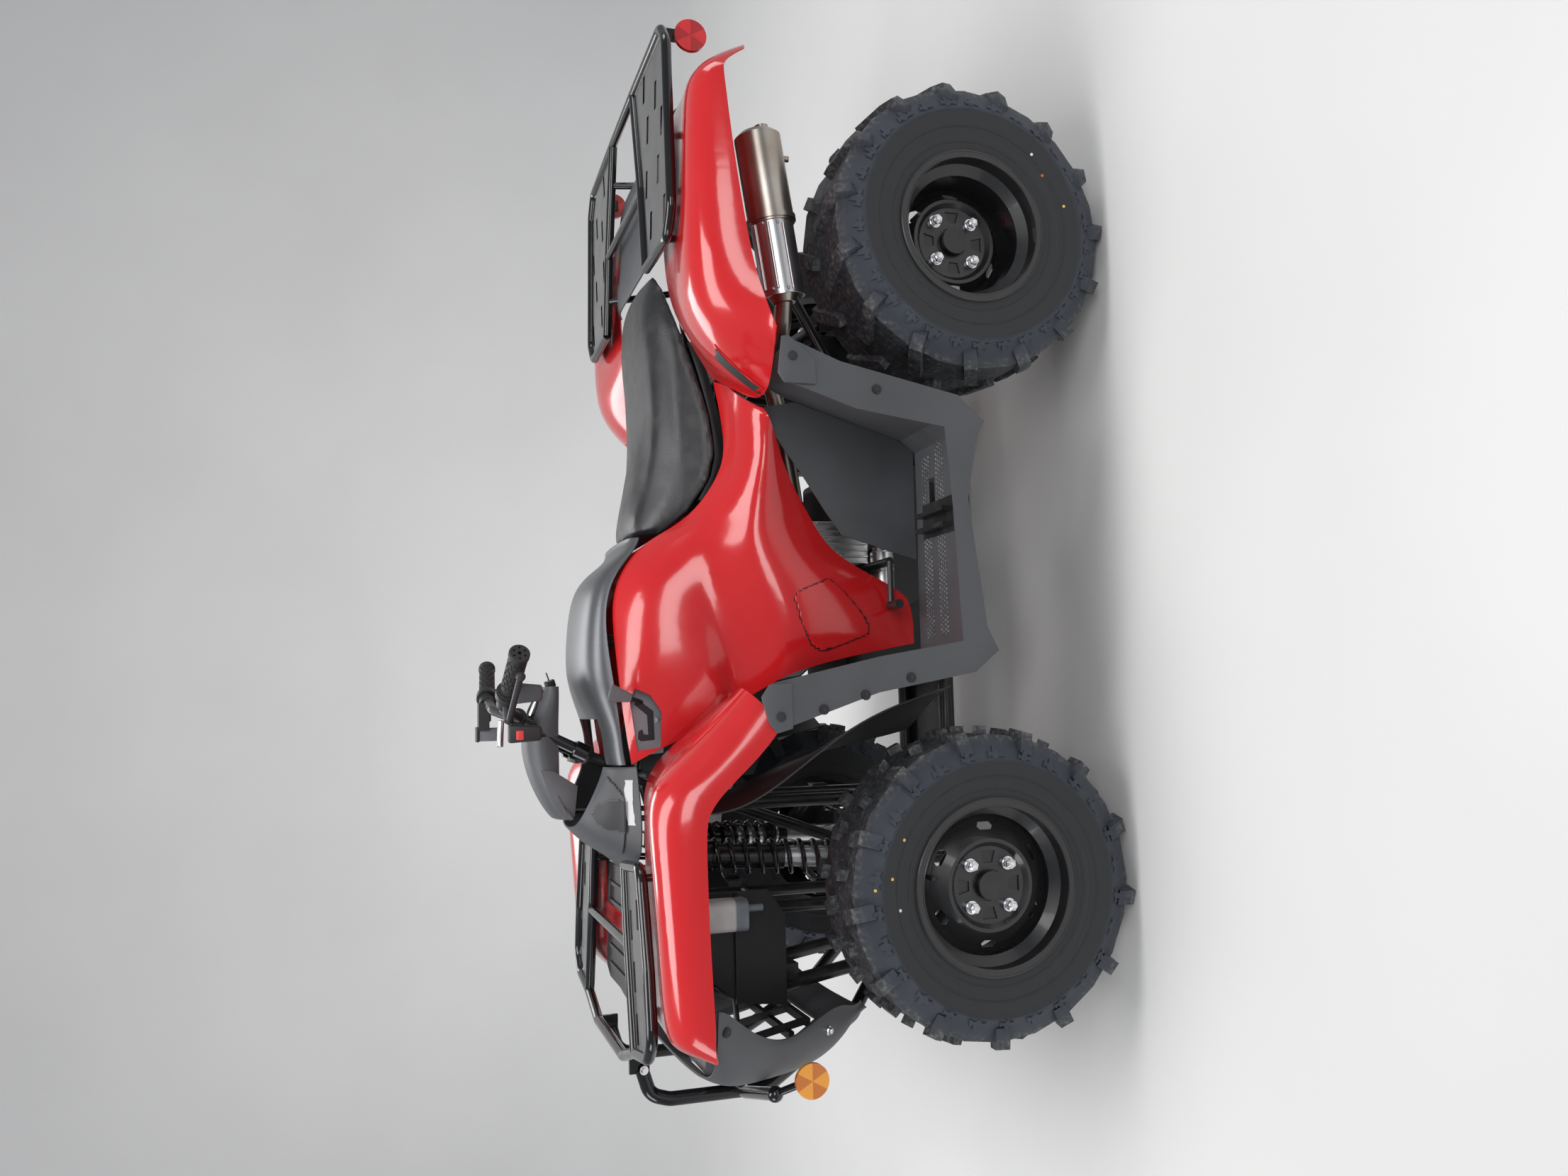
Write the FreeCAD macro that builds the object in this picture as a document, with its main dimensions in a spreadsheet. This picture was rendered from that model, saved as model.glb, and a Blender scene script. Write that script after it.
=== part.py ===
import FreeCAD, Part
import math
import os

import Sketcher
from FreeCAD import Placement, Rotation, Vector

# Quad bike with straight rear axle and double wishbones in front.
# Millimetres. +X is forward, +Y is the rider's left, +Z is up. The origin is on the
# ground, midway between the front guard and the rear rack's bar.

doc = FreeCAD.newDocument("QuadBike")
sheet = doc.addObject("Spreadsheet::Sheet", "Sizes")

SIZES = (
    ("front_axle_place", 622.5),
    ("wheelbase", 1267.0),
    ("body_half_width", 602.0),
    ("deck_height", 925.0),
    ("running_gap", 0.09),
    ("seat_gap", 0.3),
    ("front_tyre_radius", 298.0),
    ("front_tyre_width", 208.0),
    ("front_wheel_centre", 473.0),
    ("front_bead_radius", 152.4),
    ("front_rim_half", 89.0),
    ("front_disc_face", 52.0),
    ("rear_tyre_radius", 296.0),
    ("rear_tyre_width", 250.0),
    ("rear_wheel_centre", 455.0),
    ("rear_bead_radius", 139.7),
    ("rear_rim_half", 111.0),
    ("rear_disc_face", 16.0),
    ("rim_flange", 12.6),
    ("rim_drop", 18.0),
    ("rim_wall", 3.0),
    ("hub_bore", 30.0),
    ("hub_cap_radius", 27.0),
    ("hub_cap_depth", 15.0),
    ("hub_flange_radius", 66.0),
    ("hub_flange_wall", 9.0),
    ("hub_barrel_radius", 31.0),
    ("spindle_radius", 15.0),
    ("brake_disc_radius", 92.0),
    ("brake_disc_wall", 4.0),
    ("nut_circle", 55.0),
    ("tread_depth", 13.0),
    ("front_lug_pitches", 13.0),
    ("rear_lug_pitches", 15.0),
    ("frame_tube", 15.0),
    ("frame_rail_offset", 115.0),
    ("ground_clearance", 163.0),
    ("skid_wall", 4.0),
    ("arm_tube", 10.0),
    ("arm_bush_length", 28.0),
    ("ear_wall", 4.0),
    ("stem_tube", 13.0),
    ("stem_rake", 20.0),
    ("pitman_length", 62.0),
    ("steering_arm_length", 80.0),
    ("rod_tube", 7.0),
    ("handlebar_tube", 11.0),
    ("grip_radius", 16.5),
    ("grip_length", 125.0),
    ("rack_tube", 11.0),
    ("rear_rack_tube", 10.0),
    ("rear_rack_height", 870.0),
    ("rack_plate_wall", 4.0),
    ("guard_tube", 14.0),
    ("panel_wall", 3.0),
    ("floor_wall", 4.0),
    ("reflector_radius", 32.0),
    ("reflector_wall", 9.0),
    ("muffler_radius", 46.0),
    ("pipe_radius", 18.0),
    ("hitch_hole", 8.0),
    ("hitch_wall", 10.0),
    ("hitch_height", 262.0),
    ("axle_radius", 15.0),
    ("axle_housing", 30.0),
)

for row, (alias, number) in enumerate(SIZES, start=1):
    sheet.set("A%d" % row, alias)
    sheet.set("B%d" % row, str(number))
    sheet.setAlias("B%d" % row, alias)
doc.recompute()


class Size:
    """A length from the sheet, with the expression that gives it."""

    def __init__(self, number, text):
        self.number = number
        self.text = text

    def joined(self, sign, other, number):
        return Size(number, "(%s %s %s)" % (self.text, sign, text_of(other)))

    def __add__(self, other):
        return self.joined("+", other, self.number + number_of(other))

    def __sub__(self, other):
        return self.joined("-", other, self.number - number_of(other))

    def __mul__(self, other):
        return self.joined("*", other, self.number * number_of(other))

    def __neg__(self):
        return Size(-self.number, "(0 - %s)" % self.text)


def text_of(value):
    return value.text if isinstance(value, Size) else "%.4f" % value


def number_of(value):
    return value.number if isinstance(value, Size) else float(value)


def size(alias):
    return Size(float(sheet.get(alias)), "Sizes." + alias)


def value(alias):
    return float(sheet.get(alias))


# Every piece is kept here under the name of its node.
pieces = {}


def keep(label, feature):
    feature.Label = label
    pieces[label] = feature
    return feature


def solid(label, shape):
    """Keeps a shape that Part's own functions made as one piece."""
    feature = doc.addObject("Part::Feature", label)
    feature.Shape = shape
    return keep(label, feature)


# The drawing's own wheelbase, width and heights, to which the outlines below are drawn.
DRAWN_FRONT_AXLE = 622.5
DRAWN_WHEELBASE = 1267.0
DRAWN_HALF_WIDTH = 602.0
DRAWN_DECK = 925.0
front_axle = value("front_axle_place")
rear_axle = front_axle - value("wheelbase")
front_axle_height = value("front_tyre_radius")
rear_axle_height = value("rear_tyre_radius")


def along(x):
    """Moves a drawn place along the machine to where the axles are."""
    drawn_rear = DRAWN_FRONT_AXLE - DRAWN_WHEELBASE
    if x >= DRAWN_FRONT_AXLE:
        return front_axle + x - DRAWN_FRONT_AXLE
    if x <= drawn_rear:
        return rear_axle + x - drawn_rear
    return rear_axle + (x - drawn_rear) * value("wheelbase") / DRAWN_WHEELBASE


def at(x, y, z):
    """A drawn point, moved with the axles, the width and the deck's height."""
    across = y * value("body_half_width") / DRAWN_HALF_WIDTH
    up = z * value("deck_height") / DRAWN_DECK
    return Vector(along(x), across, up)


def mirrored(shape):
    return shape.mirror(Vector(0, 0, 0), Vector(0, 1, 0))


def both_sides(label, shape):
    """Keeps a left piece and its mirror image as two solids of one node."""
    return solid(label, Part.makeCompound([shape, mirrored(shape)]))


def tube(points, radius, bend=40.0):
    """A round tube along straight runs with bent corners."""
    edges = []
    start = points[0]
    for before, corner, after in zip(points, points[1:], points[2:]):
        back = (before - corner).normalize()
        ahead = (after - corner).normalize()
        half = back.getAngle(ahead) / 2
        reach = min(bend / math.tan(half), 0.45 * before.distanceToPoint(corner),
                    0.45 * after.distanceToPoint(corner))
        first = corner + back * reach
        last = corner + ahead * reach
        middle_way = (back + ahead).normalize()
        arc_radius = reach * math.tan(half)
        middle = corner + middle_way * (arc_radius / math.sin(half) - arc_radius)
        edges.append(Part.LineSegment(start, first).toShape())
        edges.append(Part.Arc(first, middle, last).toShape())
        start = last
    edges.append(Part.LineSegment(start, points[-1]).toShape())
    path = Part.Wire(edges)
    heading = (points[1] - points[0]).normalize()
    ring = Part.Wire([Part.makeCircle(radius, points[0], heading)])
    return path.makePipeShell([ring], True, False)


def rod(start, end, radius):
    """A straight round bar between two points."""
    heading = end - start
    return Part.makeCylinder(radius, heading.Length, start, heading)


def joined(shapes):
    """One solid from shapes that run into each other, added one by one."""
    whole = shapes[0]
    for shape in shapes[1:]:
        whole = whole.fuse(shape)
    return whole.removeSplitter()


def biggest(shape):
    """The largest solid of a shape that a cut may have left in several."""
    return max(shape.Solids, key=lambda item: item.Volume)


def outline_solid(corners, direction):
    """A flat outline pushed along a direction."""
    return Part.Face(Part.makePolygon(corners + [corners[0]])).extrude(direction)


def grid_normals(grid):
    """The outward direction at each point of a grid, from its neighbours."""
    rows, columns = len(grid), len(grid[0])
    normals = []
    for i in range(rows):
        line = []
        for j in range(columns):
            down = grid[min(i + 1, rows - 1)][j] - grid[max(i - 1, 0)][j]
            across = grid[i][min(j + 1, columns - 1)] - grid[i][max(j - 1, 0)]
            line.append(down.cross(across).normalize())
        normals.append(line)
    return normals


def even_knots(count):
    """Knots and their multiplicities for a cubic line with this many poles."""
    inside = count - 4
    return [4] + [1] * inside + [4], [float(k) for k in range(inside + 2)]


def panel(grid, wall, side=1.0, flowing=False):
    """A moulded sheet of even wall: through the points, or flowing towards them."""
    normals = grid_normals(grid)
    inner = [[point + normal * (wall * side) for point, normal in zip(line, turns)]
             for line, turns in zip(grid, normals)]
    faces = []
    sheets = []
    for points in (grid, inner):
        surface = Part.BSplineSurface()
        if flowing:
            row_counts, row_knots = even_knots(len(points))
            line_counts, line_knots = even_knots(len(points[0]))
            surface.buildFromPolesMultsKnots(points, row_counts, line_counts, row_knots,
                                             line_knots, False, False, 3, 3)
        else:
            surface.interpolate(points)
        sheets.append(surface)
        faces.append(surface.toShape())
    for which in (0, 1):
        low = sheets[0].vIso(sheets[0].bounds()[2 + which]).toShape()
        high = sheets[1].vIso(sheets[1].bounds()[2 + which]).toShape()
        faces.append(Part.makeRuledSurface(low, high))
        low = sheets[0].uIso(sheets[0].bounds()[which]).toShape()
        high = sheets[1].uIso(sheets[1].bounds()[which]).toShape()
        faces.append(Part.makeRuledSurface(low, high))
    shell = Part.makeShell(faces)
    shell.sewShape()
    body = Part.makeSolid(shell)
    if body.Volume < 0:
        body.reverse()
    return body


def plane_of(body, role):
    return next(item for item in body.Origin.OriginFeatures if item.Role == role)


def outline_sketch(body, plane, points):
    """A closed outline on one of the body's planes, each corner held by two sizes."""
    sketch = body.newObject("Sketcher::SketchObject", body.Name + "_outline")
    sketch.AttachmentSupport = [(plane_of(body, plane), "")]
    sketch.MapMode = "FlatFace"
    corners = [Vector(number_of(a), number_of(b), 0) for a, b in points]
    count = len(corners)
    for i in range(count):
        sketch.addGeometry(Part.LineSegment(corners[i], corners[(i + 1) % count]), False)
    for i in range(count):
        sketch.addConstraint(Sketcher.Constraint("Coincident", i, 2, (i + 1) % count, 1))
    for i, (a, b) in enumerate(points):
        for kind, place in (("DistanceX", a), ("DistanceY", b)):
            held = Sketcher.Constraint(kind, -1, 1, i, 1, number_of(place))
            index = sketch.addConstraint(held)
            if isinstance(place, Size):
                sketch.setExpression("Constraints[%d]" % index, place.text)
    return sketch


def new_body(label):
    return keep(label, doc.addObject("PartDesign::Body", label))


def turned(body, points):
    """Turns an outline of radius and height about the body's own Z axis."""
    sketch = outline_sketch(body, "XZ_Plane", points)
    turn = body.newObject("PartDesign::Revolution", body.Name + "_turn")
    turn.Profile = sketch
    turn.ReferenceAxis = (sketch, ["V_Axis"])
    turn.Angle = 360.0
    return turn


def windows(body, label, points, count):
    """Cuts one outline right through and repeats it round the body's Z axis."""
    sketch = outline_sketch(body, "XY_Plane", points)
    sketch.Label = body.Name + label
    cut = body.newObject("PartDesign::Pocket", body.Name + label + "_cut")
    cut.Profile = sketch
    cut.Type = "ThroughAll"
    cut.Midplane = True
    ring = body.newObject("PartDesign::PolarPattern", body.Name + label + "_ring")
    ring.Originals = [cut]
    ring.Axis = (sketch, ["N_Axis"])
    ring.Angle = 360.0
    ring.Occurrences = count
    body.Tip = ring
    return ring


def facing(side):
    """Turns a piece made along +Z so that it looks out on the given side."""
    return Rotation(Vector(1, 0, 0), -90.0 * side)


SIDES = (("left", 1.0), ("right", -1.0))


# Wheels

def rim(label, end, side, place):
    """A pressed steel wheel: rolled barrel with two flanges and a dished disc."""
    bead = size(end + "_bead_radius")
    half = size(end + "_rim_half")
    disc = size(end + "_disc_face")
    wall = size("rim_wall")
    edge = bead + size("rim_flange")
    well = bead - size("rim_drop")
    bore = size("hub_bore")
    hollow = well - wall
    under = disc - wall
    body = new_body(label)
    turned(body, [
        (bore, under), (bore + 42.0, under), (bore + 50.0, under + 8.0),
        (bore + 57.0, under + 8.0), (hollow - 15.0, under - 14.0), (hollow, under - 22.0),
        (hollow, -half + 55.0), (bead - wall, -half + 33.0), (bead - wall, -half),
        (edge, -half), (edge, -half + wall), (bead, -half + wall),
        (bead, -half + 35.0), (well, -half + 58.0), (well, half - 47.0),
        (bead, half - 33.0), (bead, half - wall), (edge, half - wall), (edge, half),
        (bead - wall, half), (bead - wall, half - 31.0), (hollow, half - 45.0),
        (hollow, under - 18.0), (hollow - 14.0, under - 10.0), (bore + 57.0, disc + 8.0),
        (bore + 50.0, disc + 8.0), (bore + 42.0, disc), (bore, disc)])
    slot = well - 26.0
    windows(body, "_slots", [
        (slot, Size(-17.0, "(0 - 17)")), (slot + 8.0, Size(-12.0, "(0 - 12)")),
        (slot + 8.0, 12.0), (slot, 17.0), (slot - 6.0, 12.0),
        (slot - 6.0, Size(-12.0, "(0 - 12)"))], 6)
    vent = size("nut_circle")
    windows(body, "_vents", [
        (vent - 14.0, Size(-9.0, "(0 - 9)")), (vent + 8.0, Size(-15.0, "(0 - 15)")),
        (vent + 8.0, 15.0), (vent - 14.0, 9.0)], 4)
    body.Placement = Placement(place, facing(side))
    return body


def ring_faces(profile, sides):
    """A ring of flat facets about Z through a closed outline of radius and height."""
    step = 2 * math.pi / sides
    corners = [[Vector(r * math.cos(k * step), r * math.sin(k * step), z)
                for r, z in profile] for k in range(sides)]
    faces = []
    for k in range(sides):
        here, ahead = corners[k], corners[(k + 1) % sides]
        for i in range(len(profile)):
            n = (i + 1) % len(profile)
            loop = [here[i], ahead[i], ahead[n], here[n], here[i]]
            faces.append(Part.Face(Part.makePolygon(loop)))
    shell = Part.makeShell(faces)
    shell.sewShape()
    return Part.makeSolid(shell)


def lug(outline, width, skew, angle):
    """One tread block: an outline of height and radius, pushed round and skewed."""
    corners = [Vector(r, -width / 2, z) for z, r in outline]
    block = outline_solid(corners, Vector(0, width, 0))
    middle = sum(z for z, r in outline) / len(outline)
    block.rotate(Vector(0, 0, middle), Vector(1, 0, 0), skew)
    block.rotate(Vector(0, 0, 0), Vector(0, 0, 1), angle)
    return block


def tyre_shape(end, shoulder_lug, centre_lug):
    """A tubeless tyre with its tread blocks, about Z, centred on its own width."""
    bead = value(end + "_bead_radius") + value("seat_gap")
    half = value(end + "_rim_half") - value("rim_wall") - value("seat_gap")
    flange = value(end + "_bead_radius") + value("rim_flange") + 1.5
    bulge = value(end + "_tyre_width") / 2
    base = value(end + "_tyre_radius") - value("tread_depth")
    sides = 24
    inner = bead / math.cos(math.pi / sides)
    half_profile = [(inner, half), (flange + 2.0, half), (base - 46.0, bulge - 1.0),
                    (base - 2.0, bulge - 30.0)]
    profile = half_profile + [(r, -z) for r, z in reversed(half_profile)]
    tyre = ring_faces(profile, sides)
    pitches = int(value(end + "_lug_pitches"))
    blocks = []
    for k in range(pitches):
        turn = 360.0 / pitches
        for way in (1.0, -1.0):
            phase = turn * (k if way > 0 else k + 0.5)
            mirrored_outline = [(z * way, r) for z, r in shoulder_lug[0]]
            blocks.append(lug(mirrored_outline, shoulder_lug[1], way * shoulder_lug[2], phase))
            if centre_lug:
                inner_outline = [(z * way, r) for z, r in centre_lug[0]]
                blocks.append(lug(inner_outline, centre_lug[1], way * centre_lug[2],
                                  phase + turn * 0.45))
    return tyre.multiFuse(blocks)


def front_tyre_shape():
    tip = value("front_tyre_radius") - 0.6
    base = tip - value("tread_depth")
    edge = value("front_tyre_width") / 2
    shoulder = [(edge - 52.0, base - 9.0), (edge - 50.0, tip - 1.0), (edge - 14.0, tip - 5.0),
                (edge - 4.0, tip - 46.0)]
    centre = [(4.0, base - 9.0), (6.0, tip), (40.0, tip), (42.0, base - 9.0)]
    return tyre_shape("front", (shoulder, 27.0, 12.0), (centre, 24.0, -28.0))


def rear_tyre_shape():
    tip = math.sqrt(value("rear_tyre_radius") ** 2 - 37.0 ** 2)
    base = tip - value("tread_depth")
    edge = value("rear_tyre_width") / 2
    long_lug = [(6.0, base - 8.0), (8.0, tip), (edge - 44.0, tip - 1.0), (edge - 14.0, tip - 6.0),
                (edge - 1.0, tip - 34.0), (edge - 8.0, tip - 52.0)]
    return tyre_shape("rear", (long_lug, 25.0, 26.0), None)


front_tyre = front_tyre_shape()
rear_tyre = rear_tyre_shape()
for side_name, side in SIDES:
    front_place = Vector(front_axle, side * value("front_wheel_centre"), front_axle_height)
    rear_place = Vector(rear_axle, side * value("rear_wheel_centre"), rear_axle_height)
    rim("front_rim_" + side_name, "front", side, front_place)
    rim("rear_rim_" + side_name, "rear", side, rear_place)
    for end, shape, place in (("front", front_tyre, front_place), ("rear", rear_tyre, rear_place)):
        tyre = solid("%s_tyre_%s" % (end, side_name), shape)
        tyre.Placement = Placement(place, facing(side))


def front_hub(side_name, side):
    """A hub with its flange, brake disc and the cap that shows in the wheel's middle."""
    gap = size("seat_gap")
    face = size("front_disc_face") - size("rim_wall") - gap
    back = face - size("hub_flange_wall")
    cap = size("hub_cap_radius")
    barrel = size("hub_barrel_radius")
    bore = size("spindle_radius") + size("running_gap")
    disc = size("brake_disc_radius")
    disc_back = back - 26.0
    body = new_body("front_hub_" + side_name)
    turned(body, [
        (bore, disc_back - 12.0), (barrel, disc_back - 12.0), (barrel, disc_back),
        (disc, disc_back), (disc, disc_back + size("brake_disc_wall")),
        (barrel, disc_back + size("brake_disc_wall")), (barrel, back),
        (size("hub_flange_radius"), back), (size("hub_flange_radius"), face),
        (cap, face), (cap, face + 3.0 + size("hub_cap_depth")),
        (0.0, face + 3.0 + size("hub_cap_depth")), (0.0, face), (bore, face)])
    place = Vector(front_axle, side * value("front_wheel_centre"), front_axle_height)
    body.Placement = Placement(place, facing(side))


for side_name, side in SIDES:
    front_hub(side_name, side)

# Rear axle: one live shaft with a hub at each end, turning in the housing on the swing arm.

def rear_axle_shape():
    radius = value("axle_radius")
    face = value("rear_wheel_centre") + value("rear_disc_face") - value("rim_wall")
    face = face - value("seat_gap")
    back = face - value("hub_flange_wall")
    shapes = [Part.makeCylinder(radius, 2 * back, Vector(0, -back, 0), Vector(0, 1, 0))]
    for side_name, side in SIDES:
        way = Vector(0, side, 0)
        shapes.append(Part.makeCylinder(value("hub_flange_radius"), value("hub_flange_wall"),
                                        way * back, way))
        shapes.append(Part.makeCylinder(value("hub_barrel_radius"), 46.0,
                                        way * (back - 46.0), way))
        shapes.append(Part.makeCylinder(value("hub_cap_radius"),
                                        value("hub_cap_depth") + 3.0, way * face, way))
    shape = joined(shapes)
    shape.translate(Vector(rear_axle, 0, rear_axle_height))
    return shape


solid("rear_axle", rear_axle_shape())

# Frame

rail = value("frame_rail_offset")
tube_r = value("frame_tube")
floor_line = value("ground_clearance") + value("skid_wall") + value("seat_gap") + tube_r
PIVOT_FRONT = 700.0
PIVOT_REAR = 480.0
LOWER_PIVOT_HEIGHT = 240.0
UPPER_PIVOT_HEIGHT = 405.0
PIVOT_OFFSET = 152.0
SHOCK_TOP = (575.0, 182.0, 800.0)
SWING_PIVOT = (-300.0, 300.0)
SWING_HALF = 95.0
REAR_EYE = 26.0
STEM_CROSS_DROP = 22.0
rear_top = Vector(along(-430), 0, 650.0)
rear_foot = Vector(rear_axle + 40, 0, rear_axle_height + 118.0)
stem_tilt = math.radians(value("stem_rake"))
stem_down = Vector(math.sin(stem_tilt), 0, -math.cos(stem_tilt))
stem_head = Vector(along(350.0), 0, 1040.0)


def stem_at(height):
    """The point of the steering axis at a height above the ground."""
    return stem_head + stem_down * ((stem_head.z - height) / math.cos(stem_tilt))


def ears(x, z, reach, low, high):
    """A bracket whose two plates stand either side of a bush along the machine."""
    half = value("arm_bush_length") / 2 + value("seat_gap")
    wall = value("ear_wall")
    plates = [Part.makeBox(2 * (half + wall), tube_r + wall, high - low,
                           Vector(along(x) - half - wall, rail, z + low))]
    for start in (-half - wall, half):
        plates.append(Part.makeBox(wall, reach - rail, high - low,
                                   Vector(along(x) + start, rail, z + low)))
    return plates


def frame_side():
    """The left half of the frame's tubes with the plates that carry arms and shock."""
    def here(x, z, y=rail):
        return Vector(along(x), y, z)

    post_r = tube_r - 1.5
    parts = [
        tube([here(872, 640), here(820, 330), here(745, floor_line), here(-350, floor_line),
              here(-440, 340), here(-470, 684)], tube_r, 90.0),
        tube([here(878, 620), here(862, 740), here(640, 770), here(430, 830),
              here(250, 790), here(-60, 690), here(-500, 690), here(-960, 770)],
             tube_r - 1.0, 90.0),
        rod(here(PIVOT_FRONT, floor_line), here(PIVOT_FRONT, 755), post_r),
        rod(here(PIVOT_REAR, floor_line), here(PIVOT_REAR, 808), post_r),
        tube([here(-452, 420), here(-700, 560), here(-900, 755)], tube_r - 3.0, 60.0),
    ]
    for x in (PIVOT_FRONT, PIVOT_REAR):
        parts += ears(x, LOWER_PIVOT_HEIGHT, PIVOT_OFFSET + 3, -18, 18)
        parts += ears(x, UPPER_PIVOT_HEIGHT, PIVOT_OFFSET + 3, -18, 18)
    top_x, top_y, top_z = SHOCK_TOP
    parts += ears(top_x, top_z, top_y + 16, -22, 18)
    pivot_end = SWING_HALF + value("seat_gap")
    parts.append(rod(here(SWING_PIVOT[0], floor_line), here(SWING_PIVOT[0], 690), post_r - 1.0))
    parts.append(Part.makeCylinder(26.0, rail + 6.0 - pivot_end,
                                   here(SWING_PIVOT[0], SWING_PIVOT[1], pivot_end),
                                   Vector(0, 1, 0)))
    return parts


def shock_bracket(place, side, base):
    """Two plates either side of an eye that lies across the machine, and their base."""
    half = REAR_EYE / 2 + value("seat_gap")
    wall = value("ear_wall")
    low, high = sorted((place.z + side * (14.0 + value("seat_gap")), base))
    parts = [Part.makeBox(30.0, 2 * (half + wall), high - low,
                          Vector(place.x - 15.0, -half - wall, low))]
    low, high = sorted((place.z - side * 8.0, base))
    for start in (-half - wall, half):
        parts.append(Part.makeBox(30.0, wall, high - low, Vector(place.x - 15.0, start, low)))
    return parts


def cross_tube(x, z, radius):
    """A tube across the frame, ending inside the wall of each rail."""
    end = rail - 5.0
    return rod(Vector(along(x), -end, z), Vector(along(x), end, z), radius)


def frame_shape():
    left = frame_side()
    parts = left + [mirrored(part) for part in left]
    for x, z in ((873, 640), (745, floor_line), (PIVOT_FRONT, 600), (150, 750),
                 (-350, floor_line), (-459, 500), (-520, 690), (-430, 690), (-955, 769)):
        parts.append(cross_tube(x, z, tube_r - 3.0))
    parts += shock_bracket(rear_top, 1.0, 688.0)
    bearing_radius = value("stem_tube") + 11.0
    for height, drop in ((858, 0.0), (325, STEM_CROSS_DROP)):
        middle = stem_at(height)
        bearing = Part.makeCylinder(bearing_radius, 30.0, middle - stem_down * 15.0, stem_down)
        for way in (1.0, -1.0):
            edge = Vector(middle.x, way * (bearing_radius - 3.0), middle.z)
            target = Vector(middle.x, way * rail, middle.z - drop)
            parts.append(rod(edge, target, 9.0))
        parts.append(bearing)
    lower = stem_at(325)
    for way in (1.0, -1.0):
        parts.append(rod(Vector(along(PIVOT_FRONT), way * rail, lower.z - STEM_CROSS_DROP),
                         Vector(along(PIVOT_REAR), way * rail, lower.z - STEM_CROSS_DROP), 10.0))
    upper = stem_at(858)
    for way in (1.0, -1.0):
        parts.append(rod(Vector(upper.x, way * rail, upper.z),
                         Vector(upper.x, way * rail, upper.z - 60), 10.0))
    shape = joined(parts)
    bore = Part.makeCylinder(value("stem_tube") + value("running_gap"), 900.0,
                             stem_head - stem_down * 60.0, stem_down)
    return shape.cut(bore)


solid("frame", frame_shape())

# Skid plate under the engine

def skid_plate():
    body = new_body("skid_plate")
    sketch = outline_sketch(body, "XY_Plane", [
        (along(-330.0), -size("frame_rail_offset") - 4.0),
        (along(690.0), -size("frame_rail_offset") - 4.0),
        (along(735.0), -size("frame_rail_offset") + 30.0),
        (along(735.0), size("frame_rail_offset") - 30.0),
        (along(690.0), size("frame_rail_offset") + 4.0),
        (along(-330.0), size("frame_rail_offset") + 4.0)])
    pad = body.newObject("PartDesign::Pad", "skid_pad")
    pad.Profile = sketch
    pad.setExpression("Length", "Sizes.skid_wall")
    body.Placement = Placement(Vector(0, 0, value("ground_clearance")), Rotation())


skid_plate()

# Engine: a plain block of crankcase, cylinder and head where the real one sits.

def engine_shape():
    low = floor_line + tube_r + value("seat_gap")
    case = Part.makeBox(along(235) - along(-250), 310.0, 425.0 - low,
                        Vector(along(-250), -150.0, low))
    case = case.makeFillet(28.0, [edge for edge in case.Edges if edge.Length > 300])
    cover = Part.makeCylinder(92.0, 40.0, Vector(along(-20), 155.0, 330.0), Vector(0, 1, 0))
    clutch = Part.makeCylinder(105.0, 40.0, Vector(along(60), -145.0, 320.0), Vector(0, -1, 0))
    parts = [case, cover, clutch]
    for k in range(7):
        parts.append(Part.makeBox(170.0, 180.0, 8.0, Vector(along(-40), -90.0, 430 + k * 20)))
    parts.append(Part.makeBox(150.0, 160.0, 240.0, Vector(along(-30), -80.0, 420.0)))
    return joined(parts)


solid("engine", engine_shape())

# Front suspension

LOWER_BALL = (630.0, 417.0, 205.0)
UPPER_BALL = (612.0, 403.0, 392.0)
lower_ball = Vector(along(LOWER_BALL[0]), LOWER_BALL[1], LOWER_BALL[2])
upper_ball = Vector(along(UPPER_BALL[0]), UPPER_BALL[1], UPPER_BALL[2])
kingpin = (upper_ball - lower_ball).normalize()
BOSS_RADIUS = 18.0
BOSS_HEIGHT = 28.0
bush_radius = 15.0
SHOCK_FOOT = (596.0, 292.0, 262.0)


def wishbone(ball, way, pivot_height):
    """Two tubes from the ball joint's boss to the bushes on the frame."""
    base = ball + kingpin * (way * value("seat_gap"))
    boss = Part.makeCylinder(BOSS_RADIUS, BOSS_HEIGHT, base, kingpin * way)
    centre = base + kingpin * (way * BOSS_HEIGHT * 0.57)
    parts = [boss]
    half = value("arm_bush_length") / 2
    for x in (PIVOT_FRONT, PIVOT_REAR):
        pivot = Vector(along(x), PIVOT_OFFSET, pivot_height)
        parts.append(rod(centre, pivot, value("arm_tube")))
        parts.append(Part.makeCylinder(bush_radius, 2 * half,
                                       pivot - Vector(half, 0, 0), Vector(1, 0, 0)))
    return parts


def front_arms_shape():
    lower = wishbone(lower_ball, -1.0, LOWER_PIVOT_HEIGHT)
    foot = Vector(along(SHOCK_FOOT[0]), SHOCK_FOOT[1], SHOCK_FOOT[2])
    ends = []
    for x in (PIVOT_FRONT, PIVOT_REAR):
        start = lower_ball - kingpin * (BOSS_HEIGHT * 0.57)
        end = Vector(along(x), PIVOT_OFFSET, LOWER_PIVOT_HEIGHT)
        share = (start.y - foot.y) / (start.y - end.y)
        ends.append(start + (end - start) * share)
    lower.append(rod(ends[0], ends[1], 9.0))
    half = value("arm_bush_length") / 2 + value("seat_gap")
    wall = value("ear_wall")
    for start in (-half - wall, half):
        lower.append(Part.makeBox(wall, 30.0, foot.z + 10.0 - ends[0].z,
                                  Vector(foot.x + start, foot.y - 15.0, ends[0].z)))
    upper = wishbone(upper_ball, 1.0, UPPER_PIVOT_HEIGHT)
    return [joined(lower), joined(upper)]


both_sides("front_arms", Part.makeCompound(front_arms_shape()))


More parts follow.
